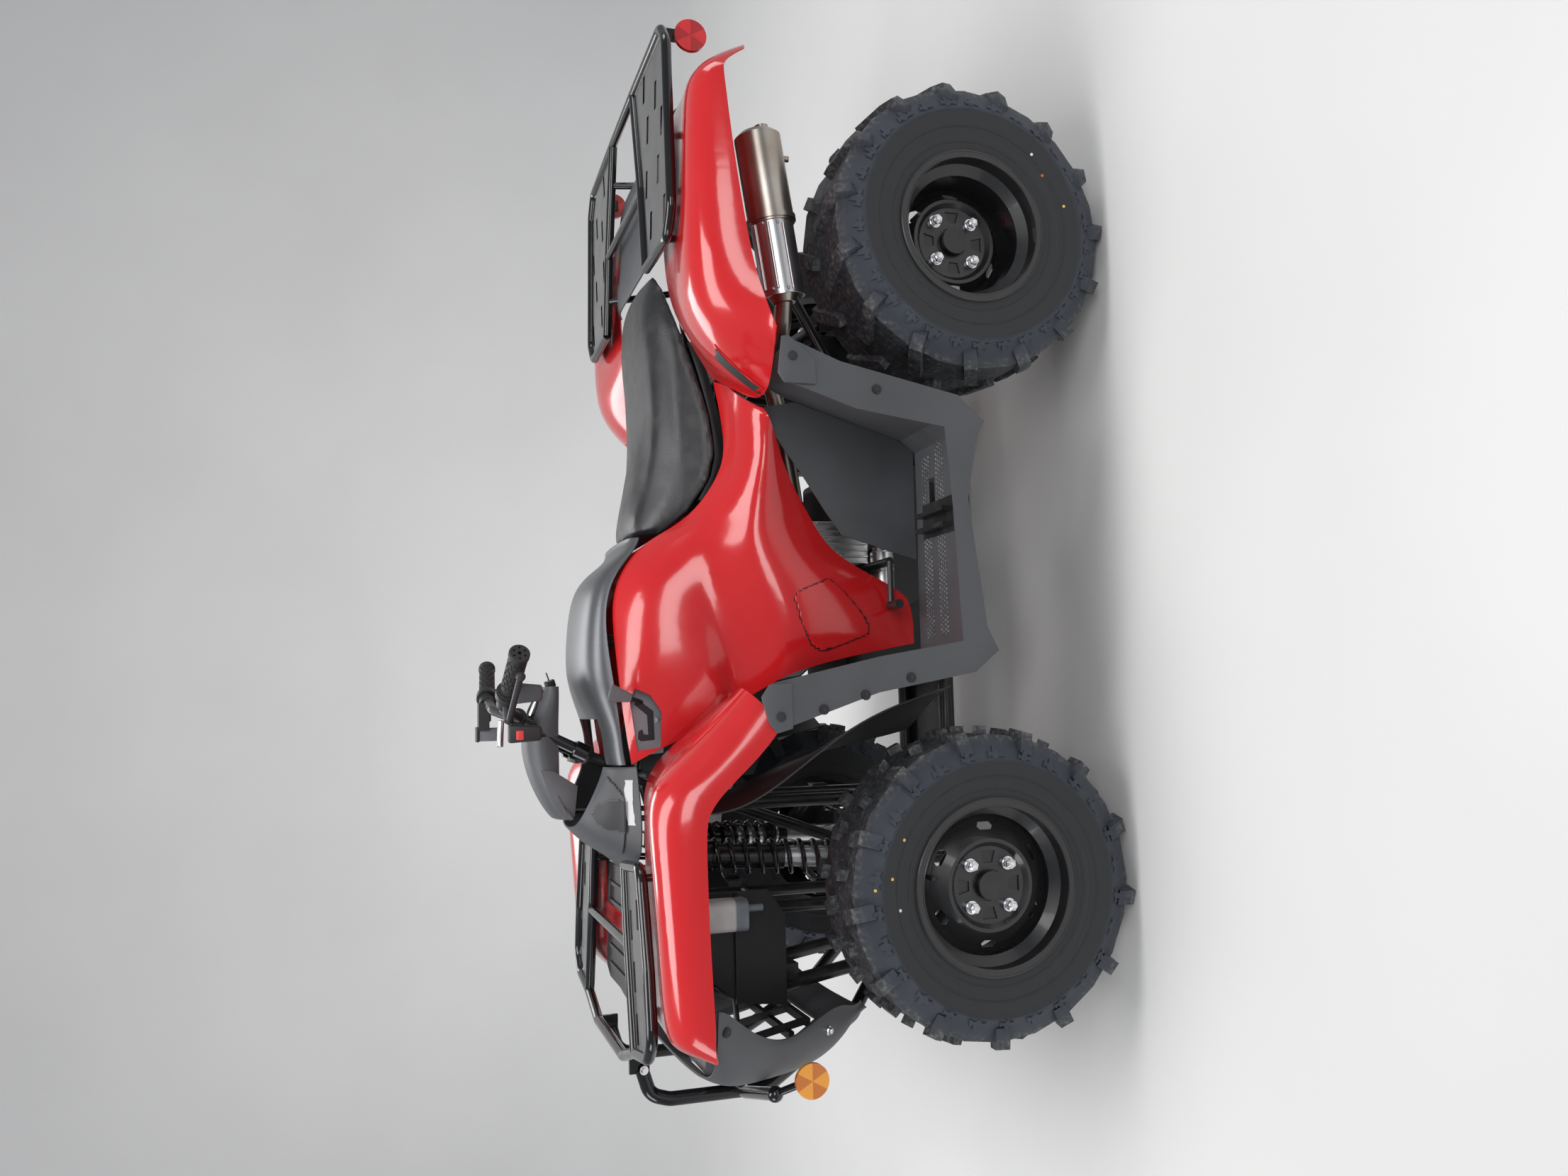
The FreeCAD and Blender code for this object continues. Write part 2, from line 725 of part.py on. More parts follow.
def shock_shape(top, foot, coil_radius, coil_top, coil_foot, eye_width, across):
    """A coil-over damper between two eyes that turn about the given direction."""
    heading = (foot - top).normalize()
    length = top.distanceToPoint(foot)
    eye = 14.0
    parts = []
    for place in (top, foot):
        parts.append(Part.makeCylinder(eye, eye_width, place - across * (eye_width / 2), across))
    parts.append(rod(top, foot, 10.0))
    parts.append(rod(top + heading * (length * 0.5), foot - heading * 18.0, 20.0))
    start = top + heading * coil_top
    end = top + heading * coil_foot
    for place in (start, end):
        parts.append(rod(place, place + heading * 6.0, coil_radius))
    turns = 7
    pitch = (coil_foot - coil_top) / turns
    for k in range(turns):
        middle = start + heading * (pitch * (k + 0.5))
        parts.append(Part.makeTorus(coil_radius - 6.0, 5.5, middle, heading))
        spoke = Part.makeCylinder(coil_radius - 6.0, 3.0, middle - heading * 1.5, heading)
        parts.append(spoke)
    return joined(parts)


shock_top = Vector(along(SHOCK_TOP[0]), SHOCK_TOP[1], SHOCK_TOP[2])
shock_foot = Vector(along(SHOCK_FOOT[0]), SHOCK_FOOT[1], SHOCK_FOOT[2])
front_shock = shock_shape(shock_top, shock_foot, 34.0, 36.0, 300.0, value("arm_bush_length"),
                          Vector(1, 0, 0))
both_sides("front_shocks", front_shock)


def knuckle_shape():
    """The upright between the ball joints, with its spindle and steering arm."""
    parts = [rod(lower_ball, upper_ball, 13.0)]
    for ball, way in ((lower_ball, 1.0), (upper_ball, -1.0)):
        parts.append(Part.makeCylinder(BOSS_RADIUS, 20.0, ball, kingpin * way))
    share = (front_axle_height - lower_ball.z) / (upper_ball.z - lower_ball.z)
    axle_point = lower_ball + (upper_ball - lower_ball) * share
    hub_back = value("front_wheel_centre") + value("front_disc_face") - value("rim_wall")
    spindle_end = hub_back - 8.0
    barrel_back = hub_back - value("seat_gap") - value("hub_flange_wall") - 38.0
    spindle_start = Vector(front_axle, axle_point.y - 8.0, front_axle_height)
    parts.append(Part.makeCylinder(30.0, barrel_back - 1.0 - spindle_start.y,
                                   spindle_start, Vector(0, 1, 0)))
    parts.append(Part.makeCylinder(value("spindle_radius"), spindle_end - spindle_start.y,
                                   spindle_start, Vector(0, 1, 0)))
    arm_root = lower_ball + kingpin * 58.0
    arm_end = arm_root + Vector(-value("steering_arm_length"), -4.0, 0)
    parts.append(rod(arm_root, arm_end, 9.0))
    parts.append(Part.makeCylinder(13.0, 14.0, arm_end - kingpin * 7.0, kingpin))
    return joined(parts)


steering_arm_end = (lower_ball + kingpin * 58.0
                    + Vector(-value("steering_arm_length"), -4.0, 0))
knuckle = knuckle_shape()
for side_name, side in SIDES:
    solid("knuckle_" + side_name, knuckle if side > 0 else mirrored(knuckle))

# Steering stem, tie rods and handlebar

PITMAN_HEIGHT = 372.0
ROD_PIVOT_OFFSET = 24.0
ROD_END_GAP = 5.0
stem_forward = Vector(math.cos(stem_tilt), 0, math.sin(stem_tilt))
pitman_centre = stem_at(PITMAN_HEIGHT)


def pitman_pivot(side):
    return (pitman_centre - stem_forward * value("pitman_length")
            + Vector(0, side * ROD_PIVOT_OFFSET, 0))


def stem_shape():
    top = stem_at(1000.0)
    foot = stem_at(310.0)
    parts = [rod(top, foot, value("stem_tube"))]
    parts.append(Part.makeCylinder(22.0, 12.0, pitman_centre + stem_down * 6.0,
                                   stem_down * -1.0))
    for way in (1.0, -1.0):
        end = pitman_pivot(way)
        parts.append(rod(pitman_centre, end, 5.0))
        parts.append(Part.makeCylinder(14.0, 12.0, end + stem_down * 6.0, stem_down * -1.0))
    parts.append(Part.makeBox(44.0, 120.0, 10.0, Vector(top.x - 22.0, -60.0, top.z - 5.0)))
    for way in (1.0, -1.0):
        start = Vector(top.x, way * 46.0, top.z)
        parts.append(rod(start, Vector(along(292.0), way * 46.0, 1104.0), 10.0))
    return joined(parts)


solid("steering_stem", stem_shape())


def tie_rod_shape():
    """The left rod, from above the pitman arm's eye to above the steering arm's eye."""
    lift = stem_down * -1.0
    inner = pitman_pivot(1.0) + lift * (6.0 + value("seat_gap"))
    outer = steering_arm_end + kingpin * (7.0 + ROD_END_GAP)
    parts = [Part.makeCylinder(12.0, 20.0, inner, lift),
             Part.makeCylinder(12.0, 18.0, outer, kingpin),
             rod(inner + lift * 11.5, outer + kingpin * 9.0, value("rod_tube"))]
    return joined(parts)


tie_rod = tie_rod_shape()
for side_name, side in SIDES:
    solid("tie_rod_" + side_name, tie_rod if side > 0 else mirrored(tie_rod))

BAR_POINTS = ((178.0, 373.0, 1151.0), (250.0, 250.0, 1160.0), (272.0, 140.0, 1156.0),
              (288.0, 75.0, 1122.0))


def bar_tube(radius):
    left = [Vector(along(x), y, z) for x, y, z in BAR_POINTS]
    right = [Vector(p.x, -p.y, p.z) for p in reversed(left)]
    return tube(left + right, radius, 45.0)


def handlebar_shape():
    bar = bar_tube(value("handlebar_tube"))
    clamps = []
    for way in (1.0, -1.0):
        clamps.append(Part.makeCylinder(19.0, 30.0, Vector(along(288.0), way * 46.0 - 15.0,
                                                           1122.0), Vector(0, 1, 0)))
    return joined([bar] + clamps)


handlebar = handlebar_shape().cut(pieces["steering_stem"].Shape)
solid("handlebar", handlebar)


def grip_shape():
    """A rubber sleeve over the bar's end, with its flange."""
    end = Vector(along(BAR_POINTS[0][0]), BAR_POINTS[0][1], BAR_POINTS[0][2])
    inner = Vector(along(BAR_POINTS[1][0]), BAR_POINTS[1][1], BAR_POINTS[1][2])
    way = (inner - end).normalize()
    start = end - way * 6.0
    sleeve = Part.makeCylinder(value("grip_radius"), value("grip_length"), start, way)
    flange = Part.makeCylinder(value("grip_radius") + 5.0, 5.0,
                               start + way * (value("grip_length") - 5.0), way)
    bore = Part.makeCylinder(value("handlebar_tube") + value("seat_gap"), 200.0,
                             end - way * value("seat_gap"), way)
    return joined([sleeve, flange]).cut(bore)


both_sides("grips", grip_shape())


def control_shapes():
    """Left: switch box, clutch-side lever and its perch. Right: the same with reservoir."""
    end = Vector(along(BAR_POINTS[0][0]), BAR_POINTS[0][1], BAR_POINTS[0][2])
    inner = Vector(along(BAR_POINTS[1][0]), BAR_POINTS[1][1], BAR_POINTS[1][2])
    way = (inner - end).normalize()
    box_start = end + way * (value("grip_length") - 6.0 + value("seat_gap"))
    housing = Part.makeCylinder(24.0, 17.0, box_start, way)
    perch = Part.makeCylinder(18.0, 30.0, box_start + way * 17.0, way)
    ahead = Vector(1, 0, 0) - way * way.x
    ahead.normalize()
    root = box_start + way * 30.0
    knuckle_point = root + ahead * 48.0
    lever_end = knuckle_point - way * 150.0 - ahead * 6.0
    parts = [housing, perch, rod(root, knuckle_point, 9.0),
             rod(knuckle_point, lever_end, 6.0), Part.makeSphere(9.0, lever_end)]
    bore = bar_tube(value("handlebar_tube") + value("seat_gap"))
    unit = joined(parts).cut(bore)
    tank = Part.makeBox(62.0, 46.0, 24.0, Vector(root.x + 2.0, -root.y - 2.0, root.z - 2.0))
    right = joined([mirrored(unit), tank]).cut(bore)
    return [unit, right]


solid("bar_controls", Part.makeCompound(control_shapes()))

POD_FRONT = ((226.0, 62.0, 1068.0), (300.0, 70.0, 1098.0), (350.0, 72.0, 1104.0),
             (405.0, 76.0, 1094.0), (462.0, 82.0, 1070.0), (500.0, 88.0, 1044.0))


def pod_shape():
    """The cover over the bar's middle: a hood from the meter to the nose."""
    grid = []
    for x, half, top in POD_FRONT:
        drop = 8.0 if x > 240 else 4.0
        foot = min(top - 30.0, 1040.0)
        if x > 480:
            foot = top - 12.0
        line = []
        for share, height in ((-1.0, foot), (-0.96, top - drop * 2.5), (-0.7, top - drop * 0.6),
                              (-0.35, top + 2.0), (0.0, top + 3.0), (0.35, top + 2.0),
                              (0.7, top - drop * 0.6), (0.96, top - drop * 2.5), (1.0, foot)):
            line.append(Vector(along(x), share * half, height))
        grid.append(line)
    return panel(grid, value("panel_wall"), -1.0)


pod = pod_shape()
solid("handlebar_pod", pod.cut(handlebar).cut(pieces["steering_stem"].Shape))

# Body panels. Each grid runs along the machine, and each line of it from the middle outwards.

FRONT_FENDER = (
    ((884, 300, 848), (884, 400, 850), (885, 460, 850), (886, 505, 849), (885, 540, 847),
     (883, 562, 845), (880, 572, 843)),
    ((884, 285, 866), (883, 400, 872), (881, 460, 877), (878, 508, 880), (873, 548, 876),
     (869, 568, 862), (864, 580, 847)),
    ((876, 262, 884), (872, 400, 892), (868, 466, 900), (862, 512, 905), (854, 554, 899),
     (848, 577, 876), (842, 584, 848)),
    ((852, 240, 890), (850, 400, 900), (846, 466, 909), (842, 514, 916), (834, 557, 908),
     (828, 582, 882), (822, 588, 848)),
    ((800, 236, 891), (800, 400, 903), (800, 466, 915), (798, 516, 925), (794, 560, 916),
     (790, 586, 887), (786, 590, 850)),
    ((694, 235, 893), (694, 400, 905), (694, 468, 918), (692, 518, 932), (690, 561, 922),
     (688, 587, 893), (687, 591, 855)),
    ((590, 236, 895), (590, 395, 908), (590, 466, 923), (588, 518, 940), (586, 562, 930),
     (584, 588, 899), (582, 591, 858)),
    ((500, 240, 896), (500, 390, 912), (500, 462, 930), (498, 518, 948), (494, 562, 937),
     (487, 588, 904), (480, 591, 859)),
    ((446, 246, 900), (446, 388, 914), (447, 460, 933), (449, 518, 949), (452, 562, 935),
     (456, 588, 900), (458, 591, 852)),
    ((395, 240, 884), (398, 380, 902), (402, 455, 921), (406, 518, 935), (414, 564, 918),
     (424, 589, 880), (432, 591, 834)),
    ((345, 252, 838), (350, 370, 858), (356, 450, 875), (362, 518, 885), (372, 564, 867),
     (384, 589, 828), (396, 592, 796)),
    ((295, 276, 776), (296, 370, 794), (299, 450, 812), (305, 518, 824), (318, 564, 811),
     (334, 589, 776), (356, 592, 752)),
    ((250, 302, 728), (246, 376, 744), (242, 455, 758), (243, 515, 770), (256, 560, 764),
     (280, 586, 744), (322, 592, 726)),
)


def drawn_panel(rows, wall, side=1.0, flowing=False):
    return panel([[at(*point) for point in row] for row in rows], wall, side, flowing)



both_sides("front_fenders", drawn_panel(FRONT_FENDER, value("panel_wall"), flowing=True))

REAR_FENDER = (
    ((-399, 244, 744), (-372, 300, 733), (-342, 350, 715), (-316, 398, 688), (-328, 460, 688),
     (-348, 510, 697), (-376, 556, 705), (-404, 591, 713)),
    ((-436, 245, 768), (-412, 300, 772), (-384, 356, 770), (-358, 412, 756), (-362, 470, 750),
     (-384, 528, 744), (-408, 574, 734), (-430, 597, 724)),
    ((-496, 246, 806), (-474, 304, 818), (-452, 364, 828), (-434, 424, 831), (-432, 484, 829),
     (-442, 540, 816), (-454, 584, 782), (-466, 600, 738)),
    ((-556, 248, 832), (-544, 306, 842), (-532, 368, 850), (-524, 430, 858), (-520, 490, 864),
     (-520, 546, 859), (-520, 590, 818), (-520, 601, 756)),
    ((-640, 250, 843), (-640, 306, 847), (-640, 368, 850), (-640, 430, 854), (-640, 492, 862),
     (-640, 548, 864), (-640, 591, 832), (-640, 602, 776)),
    ((-760, 250, 843), (-760, 306, 846), (-760, 368, 849), (-760, 430, 852), (-760, 492, 858),
     (-760, 548, 865), (-760, 592, 839), (-760, 602, 792)),
    ((-862, 252, 841), (-862, 306, 844), (-862, 368, 846), (-862, 430, 849), (-862, 492, 855),
     (-862, 548, 862), (-864, 592, 841), (-866, 601, 802)),
    ((-920, 255, 835), (-918, 306, 837), (-914, 368, 839), (-910, 430, 842), (-906, 492, 847),
     (-902, 544, 851), (-898, 584, 836), (-894, 596, 804)),
    ((-962, 258, 812), (-962, 306, 812), (-960, 368, 808), (-956, 430, 804), (-950, 490, 800),
     (-944, 534, 797), (-930, 566, 790), (-918, 582, 782)),
    ((-984, 262, 788), (-986, 306, 784), (-986, 368, 776), (-984, 430, 764), (-978, 490, 752),
     (-968, 530, 747), (-952, 558, 748), (-938, 572, 756)),
)
both_sides("rear_fenders", drawn_panel(REAR_FENDER, value("panel_wall"), flowing=True))

# Lines of the side cover from its top edge down, each running from front to rear: edge,
# flank, the crease below the tank, the crease above the foot, belly and lower edge.

SIDE_LINES = (
    ((388, 196, 912), (300, 192, 926), (200, 186, 936), (110, 178, 944), (30, 172, 944),
     (-58, 166, 892), (-98, 190, 808), (-142, 214, 764), (-196, 236, 732), (-250, 246, 716),
     (-326, 240, 726), (-392, 242, 740)),
    ((372, 214, 888), (298, 222, 904), (200, 226, 912), (112, 226, 916), (30, 224, 908),
     (-54, 214, 856), (-98, 224, 784), (-143, 238, 748), (-196, 256, 722), (-250, 268, 709),
     (-323, 268, 720), (-384, 266, 734)),
    ((352, 228, 846), (288, 240, 860), (200, 250, 872), (114, 252, 876), (30, 246, 870),
     (-52, 238, 822), (-98, 246, 764), (-144, 260, 735), (-196, 276, 714), (-250, 290, 704),
     (-318, 294, 714), (-372, 292, 729)),
    ((322, 244, 786), (270, 258, 800), (194, 266, 812), (114, 266, 824), (28, 260, 826),
     (-52, 254, 792), (-100, 264, 748), (-145, 278, 724), (-196, 294, 708), (-250, 308, 699),
     (-313, 314, 708), (-358, 314, 724)),
    ((292, 260, 736), (250, 270, 742), (182, 276, 754), (110, 272, 770), (24, 268, 786),
     (-52, 268, 768), (-101, 280, 734), (-146, 296, 714), (-197, 310, 701), (-250, 324, 693),
     (-309, 330, 702), (-346, 330, 718)),
    ((278, 250, 716), (240, 256, 718), (176, 262, 730), (108, 270, 748), (22, 274, 764),
     (-52, 280, 748), (-102, 294, 721), (-147, 310, 704), (-197, 324, 694), (-250, 336, 687),
     (-306, 342, 696), (-336, 342, 710)),
    ((250, 276, 672), (218, 284, 674), (160, 290, 684), (100, 296, 698), (18, 302, 716),
     (-52, 306, 716), (-104, 314, 701), (-148, 326, 692), (-198, 338, 684), (-251, 348, 679),
     (-303, 354, 688), (-326, 354, 701)),
    ((222, 312, 630), (196, 322, 636), (146, 328, 642), (92, 332, 648), (14, 336, 668),
     (-54, 332, 690), (-106, 332, 682), (-150, 340, 676), (-199, 350, 673), (-252, 358, 670),
     (-300, 364, 680), (-318, 364, 692)),
    ((210, 322, 600), (186, 334, 604), (136, 342, 612), (84, 346, 622), (10, 344, 636),
     (-56, 336, 650), (-108, 334, 652), (-152, 342, 654), (-200, 352, 658), (-253, 361, 662),
     (-298, 369, 673), (-312, 370, 686)),
    ((190, 330, 530), (166, 344, 530), (124, 352, 534), (76, 354, 545), (10, 346, 570),
     (-50, 334, 602), (-108, 328, 625), (-154, 340, 636), (-201, 350, 646), (-253, 360, 655),
     (-297, 372, 668), (-308, 375, 681)),
    ((172, 338, 440), (150, 344, 440), (116, 344, 444), (78, 340, 456), (24, 332, 500),
     (-34, 318, 560), (-104, 318, 590), (-154, 332, 615), (-201, 346, 634), (-253, 358, 649),
     (-296, 374, 664), (-305, 379, 678)),
    ((157, 338, 352), (136, 336, 350), (108, 332, 350), (80, 328, 352), (46, 320, 362),
     (-22, 306, 512), (-98, 308, 556), (-152, 324, 594), (-201, 340, 622), (-253, 354, 643),
     (-296, 374, 660), (-303, 382, 675)),
)
SELECTOR_GATE = ((360, 902), (262, 916), (236, 908), (250, 880), (284, 858), (354, 858))


def side_cover_shapes():
    """The left cover with the opening of the drive selector's gate, and the plain right one."""
    cover = drawn_panel(zip(*SIDE_LINES), value("panel_wall"), flowing=True)
    places = [at(x, 190, z) for x, z in SELECTOR_GATE]
    opening = outline_solid(places, Vector(0, 80.0, 0))
    return biggest(cover.cut(opening)), mirrored(cover)


solid("side_covers", Part.makeCompound(side_cover_shapes()))



def selector_shape():
    """The gate's tray behind the cover, with the lever that stands up through it."""
    tray = outline_solid([at(x, 190, z) for x, z in (
        (372, 908), (256, 926), (224, 912), (240, 874), (280, 846), (366, 846))],
        Vector(0, 3.0, 0))
    slot = outline_solid([at(x, 185, z) for x, z in (
        (340, 898), (322, 898), (322, 878), (284, 878), (262, 906), (250, 900), (276, 864),
        (340, 864))], Vector(0, 20.0, 0))
    arm = rod(at(262, 192, 896), at(252, 236, 926), 5.0)
    knob = outline_solid([at(x, 228, z) for x, z in (
        (266, 964), (230, 948), (238, 916), (250, 908), (262, 914))], Vector(0, 20.0, 0))
    stay = rod(Vector(along(300), rail, at(0, 0, 800).z), at(300, 196, 862), 6.0)
    unit = joined([tray.cut(slot), arm, knob.makeFillet(5.0, knob.Edges), stay])
    return biggest(unit.cut(pieces["frame"].Shape).cut(pieces["side_covers"].Shape))


solid("selector_lever", selector_shape())

TANK_STATIONS = ((388, 192, 922, 952), (330, 190, 930, 962), (262, 186, 938, 985),
                 (205, 183, 946, 1001), (130, 180, 955, 1002), (60, 175, 953, 994),
                 (-10, 170, 925, 962), (-74, 165, 884, 910))


def spread(stations, profile):
    """Lines across the machine from each station's half width, edge height and top."""
    grid = []
    for x, half, edge, top in stations:
        line = []
        for share, lift in profile:
            line.append((x, share * half, edge + (top - edge) * lift))
        grid.append(line)
    return grid


HOOD_PROFILE = ((-1.0, 0.0), (-0.93, 0.45), (-0.7, 0.8), (-0.35, 0.96), (0.0, 1.0),
                (0.35, 0.96), (0.7, 0.8), (0.93, 0.45), (1.0, 0.0))


def tank_cover_shape():
    hood = drawn_panel(spread(TANK_STATIONS, HOOD_PROFILE), value("panel_wall"), -1.0)
    opening = Part.makeBox(along(470) - along(296), 250.0, 140.0, Vector(along(296), -125.0, 900.0))
    return hood.cut(opening)


solid("tank_cover", tank_cover_shape())

COWL_ROWS = (
    ((392, 150, 962), (440, 142, 978), (500, 118, 1006), (518, 60, 1014), (522, 0, 1016)),
    ((392, 176, 948), (446, 172, 956), (528, 146, 972), (550, 72, 978), (556, 0, 980)),
    ((392, 194, 926), (452, 196, 926), (552, 172, 932), (578, 88, 936), (584, 0, 938)),
    ((392, 214, 906), (456, 224, 902), (574, 200, 900), (604, 100, 903), (612, 0, 905)),
)


def cowl_shape():
    rows = []
    for row in COWL_ROWS:
        left = [at(*point) for point in row]
        right = [Vector(p.x, -p.y, p.z) for p in reversed(left[:-1])]
        rows.append(left + right)
    return panel(rows, value("panel_wall"), 1.0)


solid("cowl", cowl_shape())

# Floor boards with the flaps in front of and behind the rider's foot

FLAP_LINE = ((284, 734), (232, 533), (204, 372), (176, 338), (-236, 338), (-262, 372),
             (-340, 618), (-378, 690))
STRIP_OUTER = ((318, 714), (258, 533), (224, 340), (184, 290), (140, 312), (-101, 342),
               (-224, 318), (-251, 302), (-298, 354), (-349, 590), (-390, 696))
STRIP_INNER = ((-304, 684), (-262, 560), (-236, 384), (-85, 372), (166, 362), (193, 529),
               (238, 736))
INNER_WALL = ((-14, 345), (-62, 505), (-110, 540), (-190, 592), (-264, 646), (-318, 664),
              (-330, 600), (-262, 380), (-240, 345))


def ribbon(line, wall, low, high):
    """A sheet of even wall bent along a line in the side view."""
    points = [at(x, 0, z) for x, z in line]
    outer, inner = [], []
    for i, point in enumerate(points):
        ahead = points[min(i + 1, len(points) - 1)] - points[max(i - 1, 0)]
        across = Vector(-ahead.z, 0, ahead.x).normalize() * (wall / 2)
        outer.append(point + across)
        inner.append(point - across)
    corners = [Vector(p.x, low, p.z) for p in outer + inner[::-1]]
    return outline_solid(corners, Vector(0, high - low, 0))


def side_outline(corners, low, high):
    places = [at(x, 0, z) for x, z in corners]
    return outline_solid([Vector(p.x, low, p.z) for p in places], Vector(0, high - low, 0))


def footwell_shape():
    wall = value("floor_wall")
    outer = at(0, 590, 0).y
    inner = at(0, 345, 0).y
    floor = ribbon(FLAP_LINE, wall, inner, outer)
    strip = side_outline(STRIP_OUTER + STRIP_INNER, outer - wall, outer)
    guard = side_outline(INNER_WALL, inner, inner + wall)
    unit = joined([floor, strip, guard])
    for low_x, high_x in ((-170, -120), (-100, -50)):
        hole = Part.makeBox(along(high_x) - along(low_x), 34.0, 40.0,
                            Vector(along(low_x), inner + 60.0, at(0, 0, 320).z))
        unit = unit.cut(hole)
    return unit


both_sides("footwells", footwell_shape())



def foot_peg_shape():
    """A steel step bolted on the floor board: base plate with a raised bar."""
    floor_top = at(0, 0, 338).z + value("floor_wall") / 2 + value("seat_gap")
    base = Part.makeBox(70.0, 150.0, 3.0, Vector(along(-120), at(0, 385, 0).y, floor_top))
    bar = Part.makeBox(8.0, 130.0, 26.0, Vector(along(-98), at(0, 395, 0).y, floor_top))
    second = bar.translated(Vector(30.0, 0, 0))
    return joined([base, bar, second])


both_sides("foot_pegs", foot_peg_shape())

# Splash liners behind the front wheels and panels beside the radiator

LINER = (
    ((462, 300, 838), (462, 380, 842), (462, 460, 845), (462, 540, 842)),
    ((425, 290, 700), (420, 370, 704), (414, 450, 706), (408, 540, 700)),
    ((375, 280, 560), (364, 360, 560), (340, 440, 560), (318, 520, 556)),
    ((350, 272, 440), (326, 350, 440), (292, 430, 440), (272, 510, 440)),
    ((330, 268, 345), (300, 340, 345), (264, 420, 345), (246, 490, 345)),
)

SPLASH = ((880, 604), (868, 700), (800, 790), (760, 868), (648, 868), (648, 640), (700, 604))


def splash_shape():
    low = at(0, 214, 0).y
    plate = side_outline(SPLASH, low, low + value("panel_wall"))
    rib = side_outline(((868, 704), (868, 712), (652, 712), (652, 704)),
                       low + value("panel_wall"), low + value("panel_wall") + 8.0)
    return joined([plate, rib])


STEM_SCREEN = ((232, 600), (228, 700), (262, 860), (400, 884), (430, 800), (420, 640),
               (330, 600))


def stem_screen_shape():
    """A flat screen that leans on the frame's rail, between the steering stem and the cover."""
    screen = side_outline(STEM_SCREEN, rail + tube_r - 2.0, rail + tube_r + 2.0)
    selector = pieces["selector_lever"].Shape
    screen = screen.cut(pieces["frame"].Shape).cut(selector).cut(mirrored(selector))
    return biggest(screen)


liner = drawn_panel(LINER, value("panel_wall"), 1.0)
both_sides("inner_panels", Part.makeCompound([liner, splash_shape(), stem_screen_shape()]))

# Nose: fascia with its side wings, radiator, lamps

FASCIA_ROWS = (
    ((797, 562, 836), (870, 545, 836), (927, 480, 832), (945, 380, 838), (952, 200, 842),
     (954, 0, 843)),
    ((830, 532, 785), (895, 520, 785), (950, 460, 780), (972, 350, 780), (982, 180, 780),
     (984, 0, 780)),
    ((876, 482, 700), (920, 468, 700), (960, 410, 700), (984, 320, 700), (1000, 170, 700),
     (1002, 0, 700)),
    ((862, 410, 600), (905, 405, 598), (948, 370, 596), (966, 290, 596), (978, 150, 598),
     (980, 0, 598)),
    ((860, 345, 530), (890, 342, 525), (920, 320, 520), (934, 250, 520), (944, 130, 520),
     (946, 0, 520)),
    ((868, 285, 470), (880, 280, 462), (890, 262, 450), (900, 200, 444), (906, 110, 442),
     (908, 0, 442)),
)


FASCIA_WINDOW = ((-196, 758), (196, 758), (186, 660), (120, 512), (-120, 512), (-186, 660))
GRILLE_BARS = ((960, 746, 206), (976, 704, 200), (978, 662, 192), (966, 616, 176),
               (950, 572, 158), (930, 530, 140))


def fascia_shape():
    rows = []
    for row in FASCIA_ROWS:
        left = [at(*point) for point in row]
        right = [Vector(p.x, -p.y, p.z) for p in reversed(left[:-1])]
        rows.append(left + right)
    shell = panel(rows, value("panel_wall") + 1.0, 1.0)
    for way in (1.0, -1.0):
        low = 215.0 if way > 0 else -375.0
        shell = shell.cut(Part.makeBox(220.0, 160.0, 62.0, Vector(along(860), low, 752.0)))
    places = [Vector(along(860), at(0, y, 0).y, at(0, 0, z).z) for y, z in FASCIA_WINDOW]
    return shell.cut(outline_solid(places, Vector(260.0, 0, 0)))


solid("front_fascia", fascia_shape())


def grille_shape():
    """Level bars and uprights that bridge the fascia's window and end on its rim."""
    bars = []
    for x, low, half in GRILLE_BARS:
        place = at(x, -half, low)
        bars.append(Part.makeBox(16.0, 2 * at(0, half, 0).y, 12.0, place))
    for y in (-120.0, 0.0, 120.0):
        foot, head = at(944, y, 530), at(982, y, 716)
        top = at(972, y, 768)
        corners = [foot, head, top, top - Vector(12.0, 0, 0), head - Vector(14.0, 0, 0),
                   foot - Vector(14.0, 0, 0)]
        bars.append(outline_solid(corners, Vector(0, 10.0, 0)))
    return biggest(joined(bars).cut(pieces["front_fascia"].Shape))


solid("grille", grille_shape())


def headlight_shape():
    """A lamp unit: a block with a rounded front that sits in the fascia's opening."""
    block = Part.makeBox(82.0, 162.0, 64.0, Vector(along(880), 214.0, 751.0))
    front = [edge for edge in block.Edges if abs(edge.CenterOfMass.x - along(880) - 82) < 1]
    return biggest(block.makeFillet(14.0, front).cut(pieces["front_fascia"].Shape))


both_sides("headlights", headlight_shape())

radiator = Part.makeBox(34.0, 320.0, 200.0, Vector(along(905) - 94.0, -160.0, 560.0))
fan = Part.makeCylinder(92.0, 26.0, Vector(along(811) - 26.0, 0, 660.0), Vector(1, 0, 0))
solid("radiator", joined([radiator, fan]).cut(pieces["frame"].Shape))


def bottle_shape():
    """The coolant overflow bottle with its outlet."""
    tank = Part.makeBox(62.0, 58.0, 120.0, Vector(along(655), at(0, 214, 0).y + 14.0, 700.0))
    tank = tank.makeFillet(14.0, [edge for edge in tank.Edges if edge.Length > 100])
    neck = Part.makeCylinder(14.0, 26.0, Vector(along(686), at(0, 214, 0).y + 43.0, 818.0))
    outlet = Part.makeCylinder(7.0, 40.0, Vector(along(676), at(0, 214, 0).y + 43.0, 664.0))
    lug_plate = Part.makeBox(20.0, 15.0, 20.0, Vector(along(675), at(0, 214, 0).y + 3.3, 740.0))
    return joined([tank, neck, outlet, lug_plate])


solid("coolant_bottle", bottle_shape())

# Seat: base and foam as one closed form; the cover is fabric

